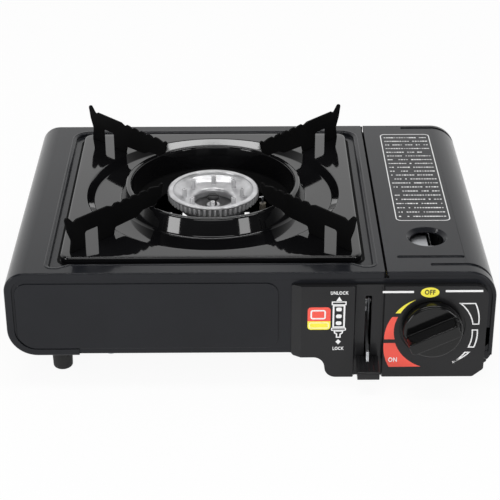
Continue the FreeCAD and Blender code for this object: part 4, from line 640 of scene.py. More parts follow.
def rows_tree(material):
    """Rows of the object's mesh with random lengths and gaps, as lines of small print."""
    tree, given, result = new_tree("rows_of_marks", [
        ("Columns", "NodeSocketInt"), ("Rows", "NodeSocketInt"), ("Width", "NodeSocketFloat"),
        ("Depth", "NodeSocketFloat"), ("Seed", "NodeSocketInt"), ("Centre", "NodeSocketVector")])
    link = tree.links.new
    grid = tree.nodes.new("GeometryNodeMeshGrid")
    drop = tree.nodes.new("FunctionNodeRandomValue")
    drop.data_type = "BOOLEAN"
    drop.inputs["Probability"].default_value = 0.14
    thin = tree.nodes.new("GeometryNodeDeleteGeometry")
    thin.domain = "POINT"
    sizes = tree.nodes.new("FunctionNodeRandomValue")
    sizes.data_type = "FLOAT_VECTOR"
    sizes.inputs["Min"].default_value = (0.45, 0.55, 1.0)
    sizes.inputs["Max"].default_value = (1.05, 1.15, 1.0)
    copies = tree.nodes.new("GeometryNodeInstanceOnPoints")
    move = tree.nodes.new("GeometryNodeTransform")
    link(given.outputs["Columns"], grid.inputs["Vertices X"])
    link(given.outputs["Rows"], grid.inputs["Vertices Y"])
    link(given.outputs["Width"], grid.inputs["Size X"])
    link(given.outputs["Depth"], grid.inputs["Size Y"])
    for random_node in (drop, sizes):
        seed = next(item for item in random_node.inputs if item.name == "Seed")
        link(given.outputs["Seed"], seed)
    link(grid.outputs["Mesh"], thin.inputs["Geometry"])
    dropped = next(item for item in drop.outputs if item.type == "BOOLEAN")
    link(dropped, thin.inputs["Selection"])
    link(thin.outputs["Geometry"], copies.inputs["Points"])
    link(given.outputs["Geometry"], copies.inputs["Instance"])
    scale = next(item for item in sizes.outputs if item.type == "VECTOR")
    link(scale, copies.inputs["Scale"])
    link(copies.outputs["Instances"], move.inputs["Geometry"])
    link(given.outputs["Centre"], move.inputs["Translation"])
    finish_tree(tree, move.outputs["Geometry"], result, material)
    return tree


def grown(thing, tree, **values):
    """Run a geometry tree on an object and keep the result as its plain mesh."""
    modifier = thing.modifiers.new(tree.name, "NODES")
    modifier.node_group = tree
    for item in tree.interface.items_tree:
        if item.item_type == "SOCKET" and item.in_out == "INPUT" and item.name in values:
            modifier[item.identifier] = values[item.name]
    return baked(thing)


# Flat shapes: outlines are in millimetres, (x, z) on the front and (x, y) on top
def upright(mesh, front):
    """Stand a mesh drawn in the XY plane upright, at a distance along Y."""
    mesh.transform(Matrix.Translation((0.0, front, 0.0))
                   @ Matrix.Rotation(math.radians(90.0), 4, "X"))
    return mesh


def level(mesh, height):
    """Lay a mesh drawn in the XY plane at a height."""
    mesh.transform(Matrix.Translation((0.0, 0.0, height)))
    return mesh


def film_of(edit, name, thickness):
    """Give a flat outline the thickness of a print film, from its surface up."""
    faces = list(edit.faces)
    raised = bmesh.ops.extrude_face_region(edit, geom=faces)
    moved = [item for item in raised["geom"] if isinstance(item, bmesh.types.BMVert)]
    bmesh.ops.translate(edit, verts=moved, vec=(0.0, 0.0, thickness))
    bmesh.ops.recalc_face_normals(edit, faces=edit.faces)
    return mesh_from(edit, name, 30.0)


def filled(name, outline, thickness):
    """A solid print with an outline."""
    edit = bmesh.new()
    edit.faces.new([edit.verts.new((u * MM, v * MM, 0.0)) for u, v in outline])
    bmesh.ops.triangulate(edit, faces=edit.faces)
    return film_of(edit, name, thickness)


def inset(outline, width):
    """An outline moved inwards by a width, corner by corner."""
    count = len(outline)
    area = sum(outline[i - 1][0] * outline[i][1] - outline[i][0] * outline[i - 1][1]
               for i in range(count))
    side = 1.0 if area > 0 else -1.0
    moved = []
    for i in range(count):
        here = Vector(outline[i])
        come = (here - Vector(outline[i - 1])).normalized()
        leave = (Vector(outline[(i + 1) % count]) - here).normalized()
        first = Vector((-come.y, come.x)) * side
        second = Vector((-leave.y, leave.x)) * side
        blend = first + second
        moved.append(tuple(here + blend * (width / max(1.0 + first.dot(second), 0.12))))
    return moved


def lined(name, outline, width, thickness):
    """A printed line of even width along a closed outline, inside it."""
    edit = bmesh.new()
    outer = [edit.verts.new((u * MM, v * MM, 0.0)) for u, v in outline]
    inner = [edit.verts.new((u * MM, v * MM, 0.0)) for u, v in inset(outline, width)]
    count = len(outline)
    for i in range(count):
        after = (i + 1) % count
        edit.faces.new((outer[i], outer[after], inner[after], inner[i]))
    return film_of(edit, name, thickness)


def oblong(left, right, low, top):
    """A rectangle's outline."""
    return [(left, low), (right, low), (right, top), (left, top)]


def oval(centre, across, up, steps):
    """An oval's outline, from its half width and half height."""
    return [(centre[0] + across * math.cos(turn), centre[1] + up * math.sin(turn))
            for turn in [2 * math.pi * step / steps for step in range(steps)]]


def panel(left, right, low, top, corner, steps=6):
    """A rounded rectangle's outline."""
    points = []
    for u, v, start in ((right - corner, top - corner, 0), (left + corner, top - corner, 90),
                        (left + corner, low + corner, 180), (right - corner, low + corner, 270)):
        points += arc((u, v), corner, start, start + 90, steps)
    return points


def about_knob(start, end, steps=14):
    """Points from start to end that curve about the knob's axis."""
    axis = Vector((KNOB_AXIS.x / MM, KNOB_AXIS.z / MM))
    first, last = Vector(start) - axis, Vector(end) - axis
    begin, finish_angle = math.atan2(first.y, first.x), math.atan2(last.y, last.x)
    if finish_angle - begin > math.pi:
        finish_angle -= 2 * math.pi
    elif begin - finish_angle > math.pi:
        finish_angle += 2 * math.pi
    points = []
    for step in range(steps + 1):
        share = step / steps
        angle = begin + (finish_angle - begin) * share
        radius = first.length + (last.length - first.length) * share
        points.append((axis.x + radius * math.cos(angle), axis.y + radius * math.sin(angle)))
    return points


def lettering(name, text, size, weight, thickness, spot):
    """A word as a mesh in the XY plane, centred on a spot in millimetres."""
    curve = bpy.data.curves.new(name, "FONT")
    curve.body = text
    curve.size = size
    curve.space_character = 1.14
    curve.align_x = "CENTER"
    curve.align_y = "CENTER"
    curve.offset = weight
    curve.extrude = thickness / 2
    letters = new_object(name, curve)
    bpy.context.view_layer.update()
    graph = bpy.context.evaluated_depsgraph_get()
    mesh = bpy.data.meshes.new_from_object(letters.evaluated_get(graph))
    bpy.data.objects.remove(letters)
    bpy.data.curves.remove(curve)
    mesh.transform(Matrix.Translation((spot[0] * MM, spot[1] * MM, thickness / 2))
                   @ Matrix.Diagonal((0.78, 1.0, 1.0, 1.0)))
    return mesh


# Operators
class STOVE_OT_finishes(bpy.types.Operator):
    """Make every finish and give the plain inner nodes theirs."""

    bl_idname = "stove.finishes"
    bl_label = "Finishes"

    def execute(self, context):
        make_finishes(context.scene.stove_finishes)
        for item in frame["record"]["subparts"]:
            node = NODES[item.get("node") or item["name"]]
            painted(node, item["material_slot"])
        return {"FINISHED"}


class STOVE_OT_case(bpy.types.Operator):
    """Casing, panels, base and feet, with pressed and folded edges."""

    bl_idname = "stove.case"
    bl_label = "Case"

    def execute(self, context):
        edges = context.scene.stove_edges

        def casing(edit):
            """Round the recess's shoulder and the end folds."""
            soften(edit, [edge for edge in edit.edges if at_recess(edge)], edges.recess, 5)
            self.end_folds(edit, CASE_LOW.y, CASE_HIGH.y, edges.fold)

        def cover(edit):
            """Round the end folds, and round the pressed grooves and paint them near-black as
            painted shade.
            """
            self.end_folds(edit, COVER_LOW.y, COVER_HIGH.y, edges.fold)
            # The grooves' faces, and below them their rounded lips, take the second slot: painted
            # shade.
            for face in edit.faces:
                if self.in_groove(face):
                    face.material_index = 1
            lips = [edge for edge in edit.edges if len(edge.link_faces) == 2
                    and sum(face.material_index for face in edge.link_faces) == 1]
            bmesh.ops.bevel(edit, geom=lips, offset=edges.groove_lip, segments=3, profile=0.5,
                            affect="EDGES", clamp_overlap=True, material=1)

        dressed("burner_casing", "case_paint", edges.sheet, casing)
        self.recess_bead(edges)
        self.ledge_gap(edges.ledge_gap / MM)
        self.seam_lip()
        self.corner_plate()
        dressed("compartment_cover", "case_paint", edges.sheet, cover, second="shade_paint")
        for node in ("front_panel", "rear_panel", "base_tray"):
            dressed(node, "case_paint", edges.sheet)
        for side in ("front_left", "back_left", "front_right", "back_right"):
            dressed("foot_" + side, "foot_rubber", edges.moulding)
        return {"FINISHED"}

    @staticmethod
    def outermost(face):
        """Whether a face is part of the case's outer skin."""
        spot = face.calc_center_median()
        corner = 22 * MM
        return (abs(spot.x - CASE_LOW.x) < 16 * MM or spot.z > CASE_TOP - corner
                or spot.z < CASE_LOW.z + corner or abs(spot.x - COVER_HIGH.x) < corner)

    def end_folds(self, edit, low_y, high_y, width):
        """Round the outer folds at the front and back end of a panel."""
        middle = Vector((CASE_LOW.x + CASE_HIGH.x, CASE_LOW.y + CASE_HIGH.y, CASE_HIGH.z)) / 2
        chosen = []
        for edge in edit.edges:
            at_end = any(all(abs(vert.co.y - end) < SAME_PLACE for vert in edge.verts)
                         for end in (low_y, high_y))
            if not at_end or len(edge.link_faces) != 2:
                continue
            flat = [face for face in edge.link_faces if abs(face.normal.y) > 0.9]
            side = [face for face in edge.link_faces if abs(face.normal.y) < 0.1]
            if len(flat) == 1 and len(side) == 1:
                away = side[0].calc_center_median() - middle
                away.y = 0.0
                if side[0].normal.dot(away) > 0 and self.outermost(side[0]):
                    chosen.append(edge)
        soften(edit, chosen, width)

    @staticmethod
    def recess_bead(edges):
        """The raised line pressed round the tray's recess."""
        steps, sunk = 6, 0.02 * MM
        edit = merged("burner_casing")
        rim = chained([edge for edge in edit.edges if at_recess(edge)])
        edit.free()
        outline = [(spot.x / MM, spot.y / MM) for spot in rim]
        edit = bmesh.new()
        rows = []
        for step in range(steps + 1):
            turn = math.pi * step / steps
            out = edges.bead_gap / MM + edges.bead_width / MM * (1 - math.cos(turn)) / 2
            height = CASE_TOP + edges.bead_height * math.sin(turn) - sunk
            rows.append([edit.verts.new((u * MM, v * MM, height))
                         for u, v in inset(outline, -out)])
        count = len(outline)
        for before, after in zip(rows, rows[1:]):
            for i in range(count):
                j = (i + 1) % count
                edit.faces.new((before[i], before[j], after[j], after[i]))
        bmesh.ops.recalc_face_normals(edit, faces=edit.faces)
        added("recess_bead", mesh_from(edit, "recess_bead", 70.0), "case_paint", "chassis",
              "case_paint")

    @staticmethod
    def ledge_gap(gap):
        """A flat dark film on the recess's ledge round the tray: painted shadow of the gap
        between ledge and tray.
        """
        film, tray_gap = 0.05 * MM, 0.3
        reach = TRAY_HALF / MM + gap
        x, y = BURNER.x / MM, BURNER.y / MM
        outline = panel(x - reach, x + reach, y - reach, y + reach, TRAY_CORNER / MM + gap)
        mesh = level(lined("ledge_gap", outline, gap - tray_gap, film), LEDGE_TOP)
        added("ledge_gap", mesh, "shade_paint", "chassis", "case_paint")

    @staticmethod
    def seam_lip():
        """A dark lip that closes the seam between casing and cover from below, and its end:
        painted shade in the seam.
        """
        left, right = CASE_HIGH.x / MM - 0.4, COVER_LOW.x / MM - 0.3
        front, back = CASE_LOW.y / MM + 1.0, CASE_HIGH.y / MM - 0.6
        end_width = 1.2
        for name, start, thickness, drop in (("seam_lip", front, 0.8, 4.6),
                                             ("seam_end", back - end_width, 3.9, 4.7)):
            mesh = filled(name, oblong(left, right, start, back), thickness * MM)
            added(name, level(mesh, CASE_TOP - drop * MM), "shade_paint", "chassis",
                  "case_paint")

    @staticmethod
    def corner_plate():
        """The end of the base's front flange, with the cover's ear turning in its hollow."""
        hinge_x, hinge_z = 169.8, 17.5
        left, low, top = 150.0, 3.2, 40.0
        chamfer_x, chamfer_rise = 158.8, 0.94
        sheet, front, clearance, ear_gap = 0.8 * MM, -112.4 * MM, 0.8, 0.4
        edge = COVER_HIGH.x / MM - 0.9
        reach = math.hypot(COVER_HIGH.x / MM - hinge_x, hinge_z - COVER_LOW.z / MM) + clearance

        def over_chamfer(spot):
            """Whether a point lies above the flange's cut corner."""
            return spot[1] > low + (spot[0] - chamfer_x) * chamfer_rise

        hollow = [(hinge_x - reach * math.sin(turn), hinge_z + reach * math.cos(turn))
                  for turn in [math.pi * step / 24 for step in range(24, -1, -1)]]
        plate = [(left, low), (chamfer_x, low), *filter(over_chamfer, hollow),
                 (hinge_x, top), (left, top)]
        round_ear = oval((hinge_x, hinge_z), reach - ear_gap, reach - ear_gap, 48)
        ear = [(min(u, edge), v) for u, v in filter(over_chamfer, round_ear)]
        for name, outline, body in (("corner_plate", plate, "chassis"),
                                    ("corner_ear", ear, "cover")):
            added(name, upright(filled(name, outline, sheet), front), "case_paint", body,
                  "case_paint")

    @staticmethod
    def in_groove(face):
        """Whether a face of the cover belongs to one of its pressed grooves."""
        spot = face.calc_center_median()
        corner, dish_y, dish_radius = 21.0 * MM, -61.5 * MM, 17.0 * MM
        away = Vector((spot.x - COVER_HIGH.x + corner, 0.0, spot.z - CASE_TOP + corner))
        if away.x > 0 and away.z > 0:
            depth, out = corner - away.length, away.normalized()
        elif away.x > 0:
            depth, out = COVER_HIGH.x - spot.x, Vector((1.0, 0.0, 0.0))
        else:
            depth, out = CASE_TOP - spot.z, Vector((0.0, 0.0, 1.0))
        at_end = min(spot.y - COVER_LOW.y, COVER_HIGH.y - spot.y, spot.x - COVER_LOW.x) < 1.0 * MM
        in_dish = math.hypot(spot.x - KNOB_AXIS.x, spot.y - dish_y) < dish_radius
        return (0.3 * MM < depth < 1.2 * MM and face.normal.dot(out) > -0.3
                and not at_end and not in_dish and spot.z > 30.0 * MM)


class STOVE_OT_drip_tray(bpy.types.Operator):
    """Pressed drip tray: square rim, round trough, raised ring and well."""

    bl_idname = "stove.drip_tray"
    bl_label = "Drip tray"

    def execute(self, context):
        size = context.scene.stove_tray
        half = TRAY_HALF
        low, well = TRAY_TOP - size.depth, TRAY_TOP - size.well
        crest = TRAY_HIGH.z
        wall_foot = size.crest - size.bead - 1.2 * MM
        inner = size.trough + 2.6 * MM
        section = rounded([
            (size.well_hole, well - size.well_fall, 0.0),
            (wall_foot, well, 2.2 * MM),
            (size.crest - size.bead, crest, size.bead * 0.98),
            (size.crest + size.bead, crest, size.bead * 0.98),
            (size.crest + size.bead + size.lean, low, 2.2 * MM),
            (size.trough - size.slope, low, 2.5 * MM),
            (size.trough, TRAY_TOP, 1.8 * MM),
            (inner, TRAY_TOP, 0.0),
        ], 7)
        straight, bend = size.side_steps, size.corner_steps
        rim = []
        for quarter in range(4):
            turn = Matrix.Rotation(math.radians(90.0 * quarter), 2)
            side = half - size.corner
            for step in range(straight):
                rim.append(turn @ Vector((half, side * (2.0 * step / straight - 1.0))))
            for spot in arc((side, side), size.corner, 0.0, 90.0, bend)[:-1]:
                rim.append(turn @ Vector(spot))
        edit = bmesh.new()
        rings = []

        def add_ring(points, height):
            """Add a ring of points round the burner."""
            rings.append([edit.verts.new((BURNER.x + spot.x, BURNER.y + spot.y, height))
                          for spot in points])

        ways = [spot.normalized() for spot in rim]
        for radius, height in section:
            add_ring([way * radius for way in ways], height)
        blends = 5
        for step in range(1, blends + 1):
            share = step / (blends + 1)
            add_ring([(way * inner).lerp(self.drawn_in(spot, half, size.fold), share)
                      for way, spot in zip(ways, rim)], TRAY_TOP)
        for angle in range(0, 91, 15):
            back = size.fold * (1.0 - math.sin(math.radians(angle)))
            drop = size.fold * (1.0 - math.cos(math.radians(angle)))
            add_ring([self.drawn_in(spot, half, back) for spot in rim], TRAY_TOP - drop)
        add_ring(rim, max(TRAY_LOW.z, LEDGE_TOP))
        count = len(rim)
        for before, after in zip(rings, rings[1:]):
            for i in range(count):
                j = (i + 1) % count
                edit.faces.new((before[i], after[i], after[j], before[j]))
        bmesh.ops.recalc_face_normals(edit, faces=edit.faces)
        edit.normal_update()
        if next(iter(edit.faces)).normal.z < 0:
            bmesh.ops.reverse_faces(edit, faces=edit.faces)
        tray = new_object("drip_tray_pressed", mesh_from(edit, "drip_tray_pressed", 80.0))
        wall = tray.modifiers.new("sheet", "SOLIDIFY")
        wall.thickness = size.sheet
        wall.offset = -1.0
        wall.use_even_offset = True
        edge = tray.modifiers.new("edge", "BEVEL")
        edge.width = 0.25 * MM
        edge.segments = 2
        edge.limit_method = "ANGLE"
        edge.angle_limit = math.radians(50.0)
        baked(tray)
        painted(tray, "tray_enamel", "blade_paint")
        # Painted shade: the well's floor inside the ring's wall foot takes the matte black blade
        # paint, standing for the shade there.
        for face in tray.data.polygons:
            reach = math.hypot(face.center.x - BURNER.x, face.center.y - BURNER.y)
            face.material_index = 1 if reach < wall_foot else 0
        settled(tray, "pan_support", "tray_enamel", "drip_tray")
        return {"FINISHED"}

    @staticmethod
    def drawn_in(spot, half, back):
        """A rim point moved in towards the middle by a distance."""
        return spot * ((half - back) / half)


class STOVE_OT_blades(bpy.types.Operator):
    """Four pan-support blades with rounded cut edges."""

    bl_idname = "stove.blades"
    bl_label = "Pan blades"

    def execute(self, context):
        for number in range(1, 5):
            dressed(f"pan_blade_{number}", "blade_paint", 0.35 * MM)
        return {"FINISHED"}


class STOVE_OT_burner(bpy.types.Operator):
    """Cast burner: slotted cap with hollow posts, cup, screw and electrode."""

    bl_idname = "stove.burner"
    bl_label = "Burner"

    def execute(self, context):
        size = context.scene.stove_burner
        edge = (CAP_HIGH.x - CAP_LOW.x) / 2
        top = CAP_HIGH.z - 0.1 * MM
        slot_top = top - size.rim_height
        low = slot_top - size.slot_height
        throat = edge - size.slot_reach
        under = CAP_LOW.z
        floor = under + 2.8 * MM
        centre = (BURNER.x, BURNER.y)
        steps = 4 * size.slots
        profile = rounded([
            (throat, slot_top, 0.0),
            (edge - 0.2 * MM, slot_top, 0.15 * MM),
            (edge - 0.2 * MM, top - 0.6 * MM, 0.3 * MM),
            (edge - 0.9 * MM, top, 0.4 * MM),
            (edge - size.rim, top, 0.5 * MM),
            (edge - size.rim - 0.3 * MM, top - 1.0 * MM, 0.4 * MM),
            (size.bowl, top - 2.2 * MM, 1.0 * MM),
            (size.bowl - 5.0 * MM, floor + 1.5 * MM, 6.0 * MM),
            (size.hole, floor, 2.8 * MM),
            (size.hole, under - 3.0 * MM, 0.2 * MM),
            (size.hole + 1.6 * MM, under - 3.0 * MM, 0.2 * MM),
            (size.hole + 3.0 * MM, under + 1.2 * MM, 0.8 * MM),
            (size.bowl - 1.0 * MM, under + 2.0 * MM, 2.0 * MM),
            (throat, low, 0.0),
            (throat, slot_top, 0.0),
        ], 4)
        edit = bmesh.new()
        rings = turned(edit, profile[:-1], steps, centre)
        # Painted shade: the backs of the flame slots take the matte black blade paint so that the
        # slots read dark.
        shaded_slot_backs = [edit.faces.new((last, after, first, before)) for last, after, first, before
                   in zip(rings[-1], rings[-1][1:] + rings[-1][:1],
                          rings[0][1:] + rings[0][:1], rings[0])]
        for face in shaded_slot_backs:
            face.material_index = 1
        bmesh.ops.recalc_face_normals(edit, faces=edit.faces)
        cap = new_object("burner_cap_cast", mesh_from(edit, "burner_cap_cast", 60.0))
        painted(cap, "cast_aluminium", "blade_paint")
        settled(cap, "chassis", "cast_aluminium", "burner_cap")

        # The teeth and posts take the lit copy of the casting: painted light.
        ring = ring_tree(finish("lit_casting"))
        pitch = 2 * math.pi * edge / size.slots
        width = pitch - size.slot_width
        edit = bmesh.new()
        self.tooth(edit, throat - 0.2 * MM, edge, width, low, slot_top + 0.1 * MM)
        teeth = new_object("flame_teeth", mesh_from(edit, "flame_teeth", 30.0))
        grown(teeth, ring, Count=size.slots, Radius=1e-6, Centre=tuple(BURNER))
        settled(teeth, "chassis", "cast_aluminium")

        edit = bmesh.new()
        base = floor + 0.3 * MM
        post = rounded([
            (0.0, top - size.post_depth, 0.0),
            (size.post_bore, top - size.post_depth, 0.0),
            (size.post_bore, top + 0.1 * MM, 0.2 * MM),
            (size.post_radius, top + 0.1 * MM, 0.25 * MM),
            (size.post_radius + 0.1 * MM, base + 0.8 * MM, 0.4 * MM),
            (size.post_radius + 0.8 * MM, base, 0.0),
            (size.post_radius + 0.8 * MM, base - 1.0 * MM, 0.0),
        ], 3)
        turned(edit, [(max(radius, 1e-5), height) for radius, height in post], 28)
        bmesh.ops.recalc_face_normals(edit, faces=edit.faces)
        posts = new_object("burner_posts", mesh_from(edit, "burner_posts", 50.0))
        grown(posts, ring, Count=size.posts, Radius=size.post_circle, Centre=tuple(BURNER))
        settled(posts, "chassis", "cast_aluminium")

        def lowered(edit):
            """Press the cup's top down, clear of the flame slots."""
            for vert in edit.verts:
                if vert.co.z > low - 1.0 * MM:
                    vert.co.z = low - 1.0 * MM + (vert.co.z - low + 1.0 * MM) * 0.2

        dressed("burner_cup", "cast_aluminium", 0.4 * MM, lowered)
        # The screw takes the near-black finish as painted shade of the middle hole.
        dressed("burner_screw", "hole_shade_dark", 0.25 * MM, slot="zinc_steel")
        dressed("electrode", "zinc_steel", 0.1 * MM)
        return {"FINISHED"}

    @staticmethod
    def tooth(edit, inner, outer, width, low, high):
        """One tooth between two flame slots, along +X."""
        half = width / 2
        slim = half * inner / outer
        corners = [(inner, -slim), (outer, -half), (outer, half), (inner, slim)]
        bottom = [edit.verts.new((x, y, low)) for x, y in corners]
        top = [edit.verts.new((x, y, high)) for x, y in corners]
        edit.faces.new(bottom[::-1])
        edit.faces.new(top)
        for i in range(4):
            j = (i + 1) % 4
            edit.faces.new((bottom[i], bottom[j], top[j], top[i]))
        front = [edge for edge in edit.edges
                 if all(vert.co.x > outer - 1e-6 for vert in edge.verts)]
        bmesh.ops.bevel(edit, geom=front, offset=0.2 * MM, segments=2, profile=0.5,
                        affect="EDGES")


class STOVE_OT_controls(bpy.types.Operator):
    """Fascia, knob and lock lever."""

    bl_idname = "stove.controls"
    bl_label = "Controls"

    def execute(self, context):
        edges = context.scene.stove_edges
        dressed("control_panel", "panel_plastic", edges.moulding, steps=3, clamp=True)
        dressed("control_knob", "knob_plastic", 0.7 * MM, steps=3)
        dressed("lock_lever", "zinc_steel", 0.2 * MM)
        dressed("lever_tip", "panel_plastic", 0.35 * MM)
        return {"FINISHED"}


class STOVE_OT_gas_side(bpy.types.Operator):
    """Pieces in the gas compartment that show through the sight hole or with the cover open."""

    bl_idname = "stove.gas_side"
    bl_label = "Gas side"

    def execute(self, context):
        for node in ("cartridge_seat", "cartridge_rails", "cartridge_carriage"):
            dressed(node, "zinc_steel", 0.2 * MM)
        dressed("regulator_body", "grey_casting", 0.3 * MM)
        dressed("diaphragm_cap", "grey_casting", 0.3 * MM)
        dressed("inlet_collar", "brass", 0.2 * MM)
        dressed("piezo_igniter", "igniter_plastic", 0.3 * MM)
        dressed("partition_wall", "case_paint", 0.25 * MM)
        # The heat shield and bracket take the darker copy of the zinc plate: painted shade.
        for node in ("heat_shield", "burner_bracket"):
            dressed(node, "shaded_zinc_steel", 0.25 * MM, slot="zinc_steel")
        return {"FINISHED"}


class STOVE_OT_prints(bpy.types.Operator):
    """Printed scale, switch words and marks on the fascia, and the rows on the cover."""

    bl_idname = "stove.prints"
    bl_label = "Prints"

    def execute(self, context):
        size = context.scene.stove_print
        self.scale_marks(size)
        self.switch_marks(size)
        self.badge(size)
        self.cover_rows(size)
        return {"FINISHED"}

    @staticmethod
    def put(name, mesh, finish_name):
        """Add a print to the fascia."""
        added(name, upright(mesh, FASCIA_FRONT), finish_name, "chassis", "panel_plastic")

    def shape(self, size, name, outline, finish_name="white_print"):
        """Add a solid print."""
        self.put(name, filled(name, outline, size.film), finish_name)

    def line(self, size, name, outline, width, finish_name="white_print", layers=1):
        """Add a printed outline, on top of any print below it."""
        self.put(name, lined(name, outline, width, layers * size.film), finish_name)

    def word(self, size, name, text, height, weight, spot, finish_name="white_print"):
        """Add a printed word, on top of any print below it."""
        self.put(name, lettering(name, text, height, weight, 2 * size.film, spot), finish_name)

    def scale_marks(self, size):
        """The heat scale round the knob."""
        off_spot = (125.0, 71.9)
        self.shape(size, "line_left", oblong(92.0, 113.7, 71.6, 73.2))
        self.shape(size, "line_right", oblong(135.8, 161.9, 72.1, 73.7))
        self.shape(size, "off_oval", oval(off_spot, 6.5, 4.0, 40), "yellow_print")
        self.word(size, "off_word", "OFF", 5.0 * MM, 0.2 * MM, off_spot, "dark_print")
        self.shape(size, "start_mark", about_knob((101.6, 55.2), (115.6, 66.0))
                   + about_knob((115.6, 66.0), (105.2, 55.2))[1:], "yellow_print")
        self.shape(size, "middle_mark", about_knob((99.5, 52.2), (94.4, 33.9))
                   + about_knob((101.8, 33.9), (103.6, 52.2)), "red_print")
        self.shape(size, "full_mark", about_knob((94.2, 30.8), (98.4, 10.8))
                   + about_knob((121.4, 11.0), (102.3, 30.8)), "red_print")
        self.word(size, "on_word", "ON", 5.0 * MM, 0.12 * MM, (101.1, 16.7))
        width = size.line / MM
        self.line(size, "ring_mark_1", about_knob((145.6, 63.3), (156.1, 45.6))
                  + about_knob((160.9, 45.6), (157.6, 63.3)), width)
        self.line(size, "ring_mark_2", about_knob((155.8, 41.7), (153.8, 26.7))
                  + about_knob((158.6, 26.7), (160.3, 41.7)), width)
        self.line(size, "ring_mark_3", about_knob((152.0, 23.2), (142.7, 13.7))
                  + about_knob((142.7, 13.7), (156.2, 23.2))[1:], width)

    def switch_marks(self, size):
        """The lever's words, arrows and the outline of a cartridge."""
        x = 61.9
        self.word(size, "unlock_word", "UNLOCK", size.word, 0.1 * MM, (x, 71.7))
        self.word(size, "lock_word", "LOCK", size.word, 0.1 * MM, (x, 26.5))
        self.shape(size, "arrow_up", [(x - 2.0, 65.4), (x + 2.0, 65.4), (x, 68.9)])
        self.shape(size, "arrow_down", [(x - 1.9, 32.2), (x, 30.0), (x + 1.9, 32.2),
                                        (x, 34.1)])
        self.line(size, "can_cap", oblong(x - 5.2, x + 5.2, 62.0, 65.0), 0.8)
        self.line(size, "can_body", oblong(x - 4.4, x + 4.4, 43.6, 62.2), 1.2)
        self.line(size, "can_flange", panel(x - 5.3, x + 5.3, 41.2, 43.8, 1.0), 0.8)
        neck = [(3.6, 41.4), (3.0, 39.0), (1.7, 38.2), (1.7, 35.4)]
        self.line(size, "can_neck", [(x - out, z) for out, z in neck]
                  + [(x + out, z) for out, z in neck[::-1]], 0.9)
        for number, z in enumerate((58.6, 53.0, 47.4), start=1):
            self.shape(size, f"can_bar_{number}",
                       panel(x - 2.0, x + 2.0, z - 1.5, z + 1.5, 1.2))

    def badge(self, size):
        """A plain two-colour square with a rounded outline."""
        left, right, middle, corner, steps = 40.0, 56.1, 49.0, 2.5, 6
        red = arc((right - corner, 57.8), corner, 0, 90, steps)
        red += arc((left + corner, 57.8), corner, 90, 180, steps)
        red += [(left, middle), (right, middle)]
        yellow = [(right, middle), (left, middle)]
        yellow += arc((left + corner, 44.6), corner, 180, 270, steps)
        yellow += arc((right - corner, 44.6), corner, 270, 360, steps)
        self.shape(size, "badge_red", red, "red_print")
        self.shape(size, "badge_yellow", yellow, "yellow_print")
        self.line(size, "badge_outline", panel(42.0, 52.8, 50.6, 58.2, 1.8), 1.1, layers=2)
        self.line(size, "badge_border", panel(40.9, 55.2, 43.0, 48.2, 1.6), 0.9,
                  "cream_print", 2)

    @staticmethod
    def cover_rows(size):
        """A frame with rows of plain marks."""
        left, right, near, far = 108.0, 148.4, -36.6, 119.7
        side_margin, end_margin = 7.0, 14.0
        frame_line = lined("cover_frame", panel(left, right, near, far, 4.0), 0.7, size.film)
        added("cover_frame", level(frame_line, CASE_TOP), "white_print", "cover", "case_paint")
        mark = filled("cover_rows", oblong(-0.95, 0.95, -0.75, 0.75), size.film)
        rows = new_object("cover_rows", mark)
        centre = ((left + right) / 2 * MM, (near + far) / 2 * MM, CASE_TOP)
        grown(rows, rows_tree(finish("white_print")), Columns=size.marks, Rows=size.rows,
              Seed=size.seed, Width=(right - left - side_margin) * MM,
              Depth=(far - near - end_margin) * MM, Centre=centre)
        settled(rows, "cover", "case_paint")


class STOVE_OT_lead(bpy.types.Operator):
    """Silicone lead from the piezo unit to the electrode."""

    bl_idname = "stove.lead"
    bl_label = "Igniter lead"

    def execute(self, context):
        curve = bpy.data.curves.new("igniter_lead_cord", "CURVE")
        curve.dimensions = "3D"
        curve.resolution_u = 10
        spline = curve.splines.new("NURBS")
        spline.points.add(len(LEAD_ROUTE) - 1)
        for point, spot in zip(spline.points, LEAD_ROUTE):
            point.co = (*spot, 1.0)
        spline.order_u = 3
        spline.use_endpoint_u = True
        curve.bevel_depth = LEAD_RADIUS
        curve.bevel_resolution = 4
        curve.use_fill_caps = True
        curve.materials.append(finish("lead_silicone"))
        lead = new_object("igniter_lead_cord", curve)
        settled(lead, "chassis", "lead_silicone", "igniter_lead")
        return {"FINISHED"}


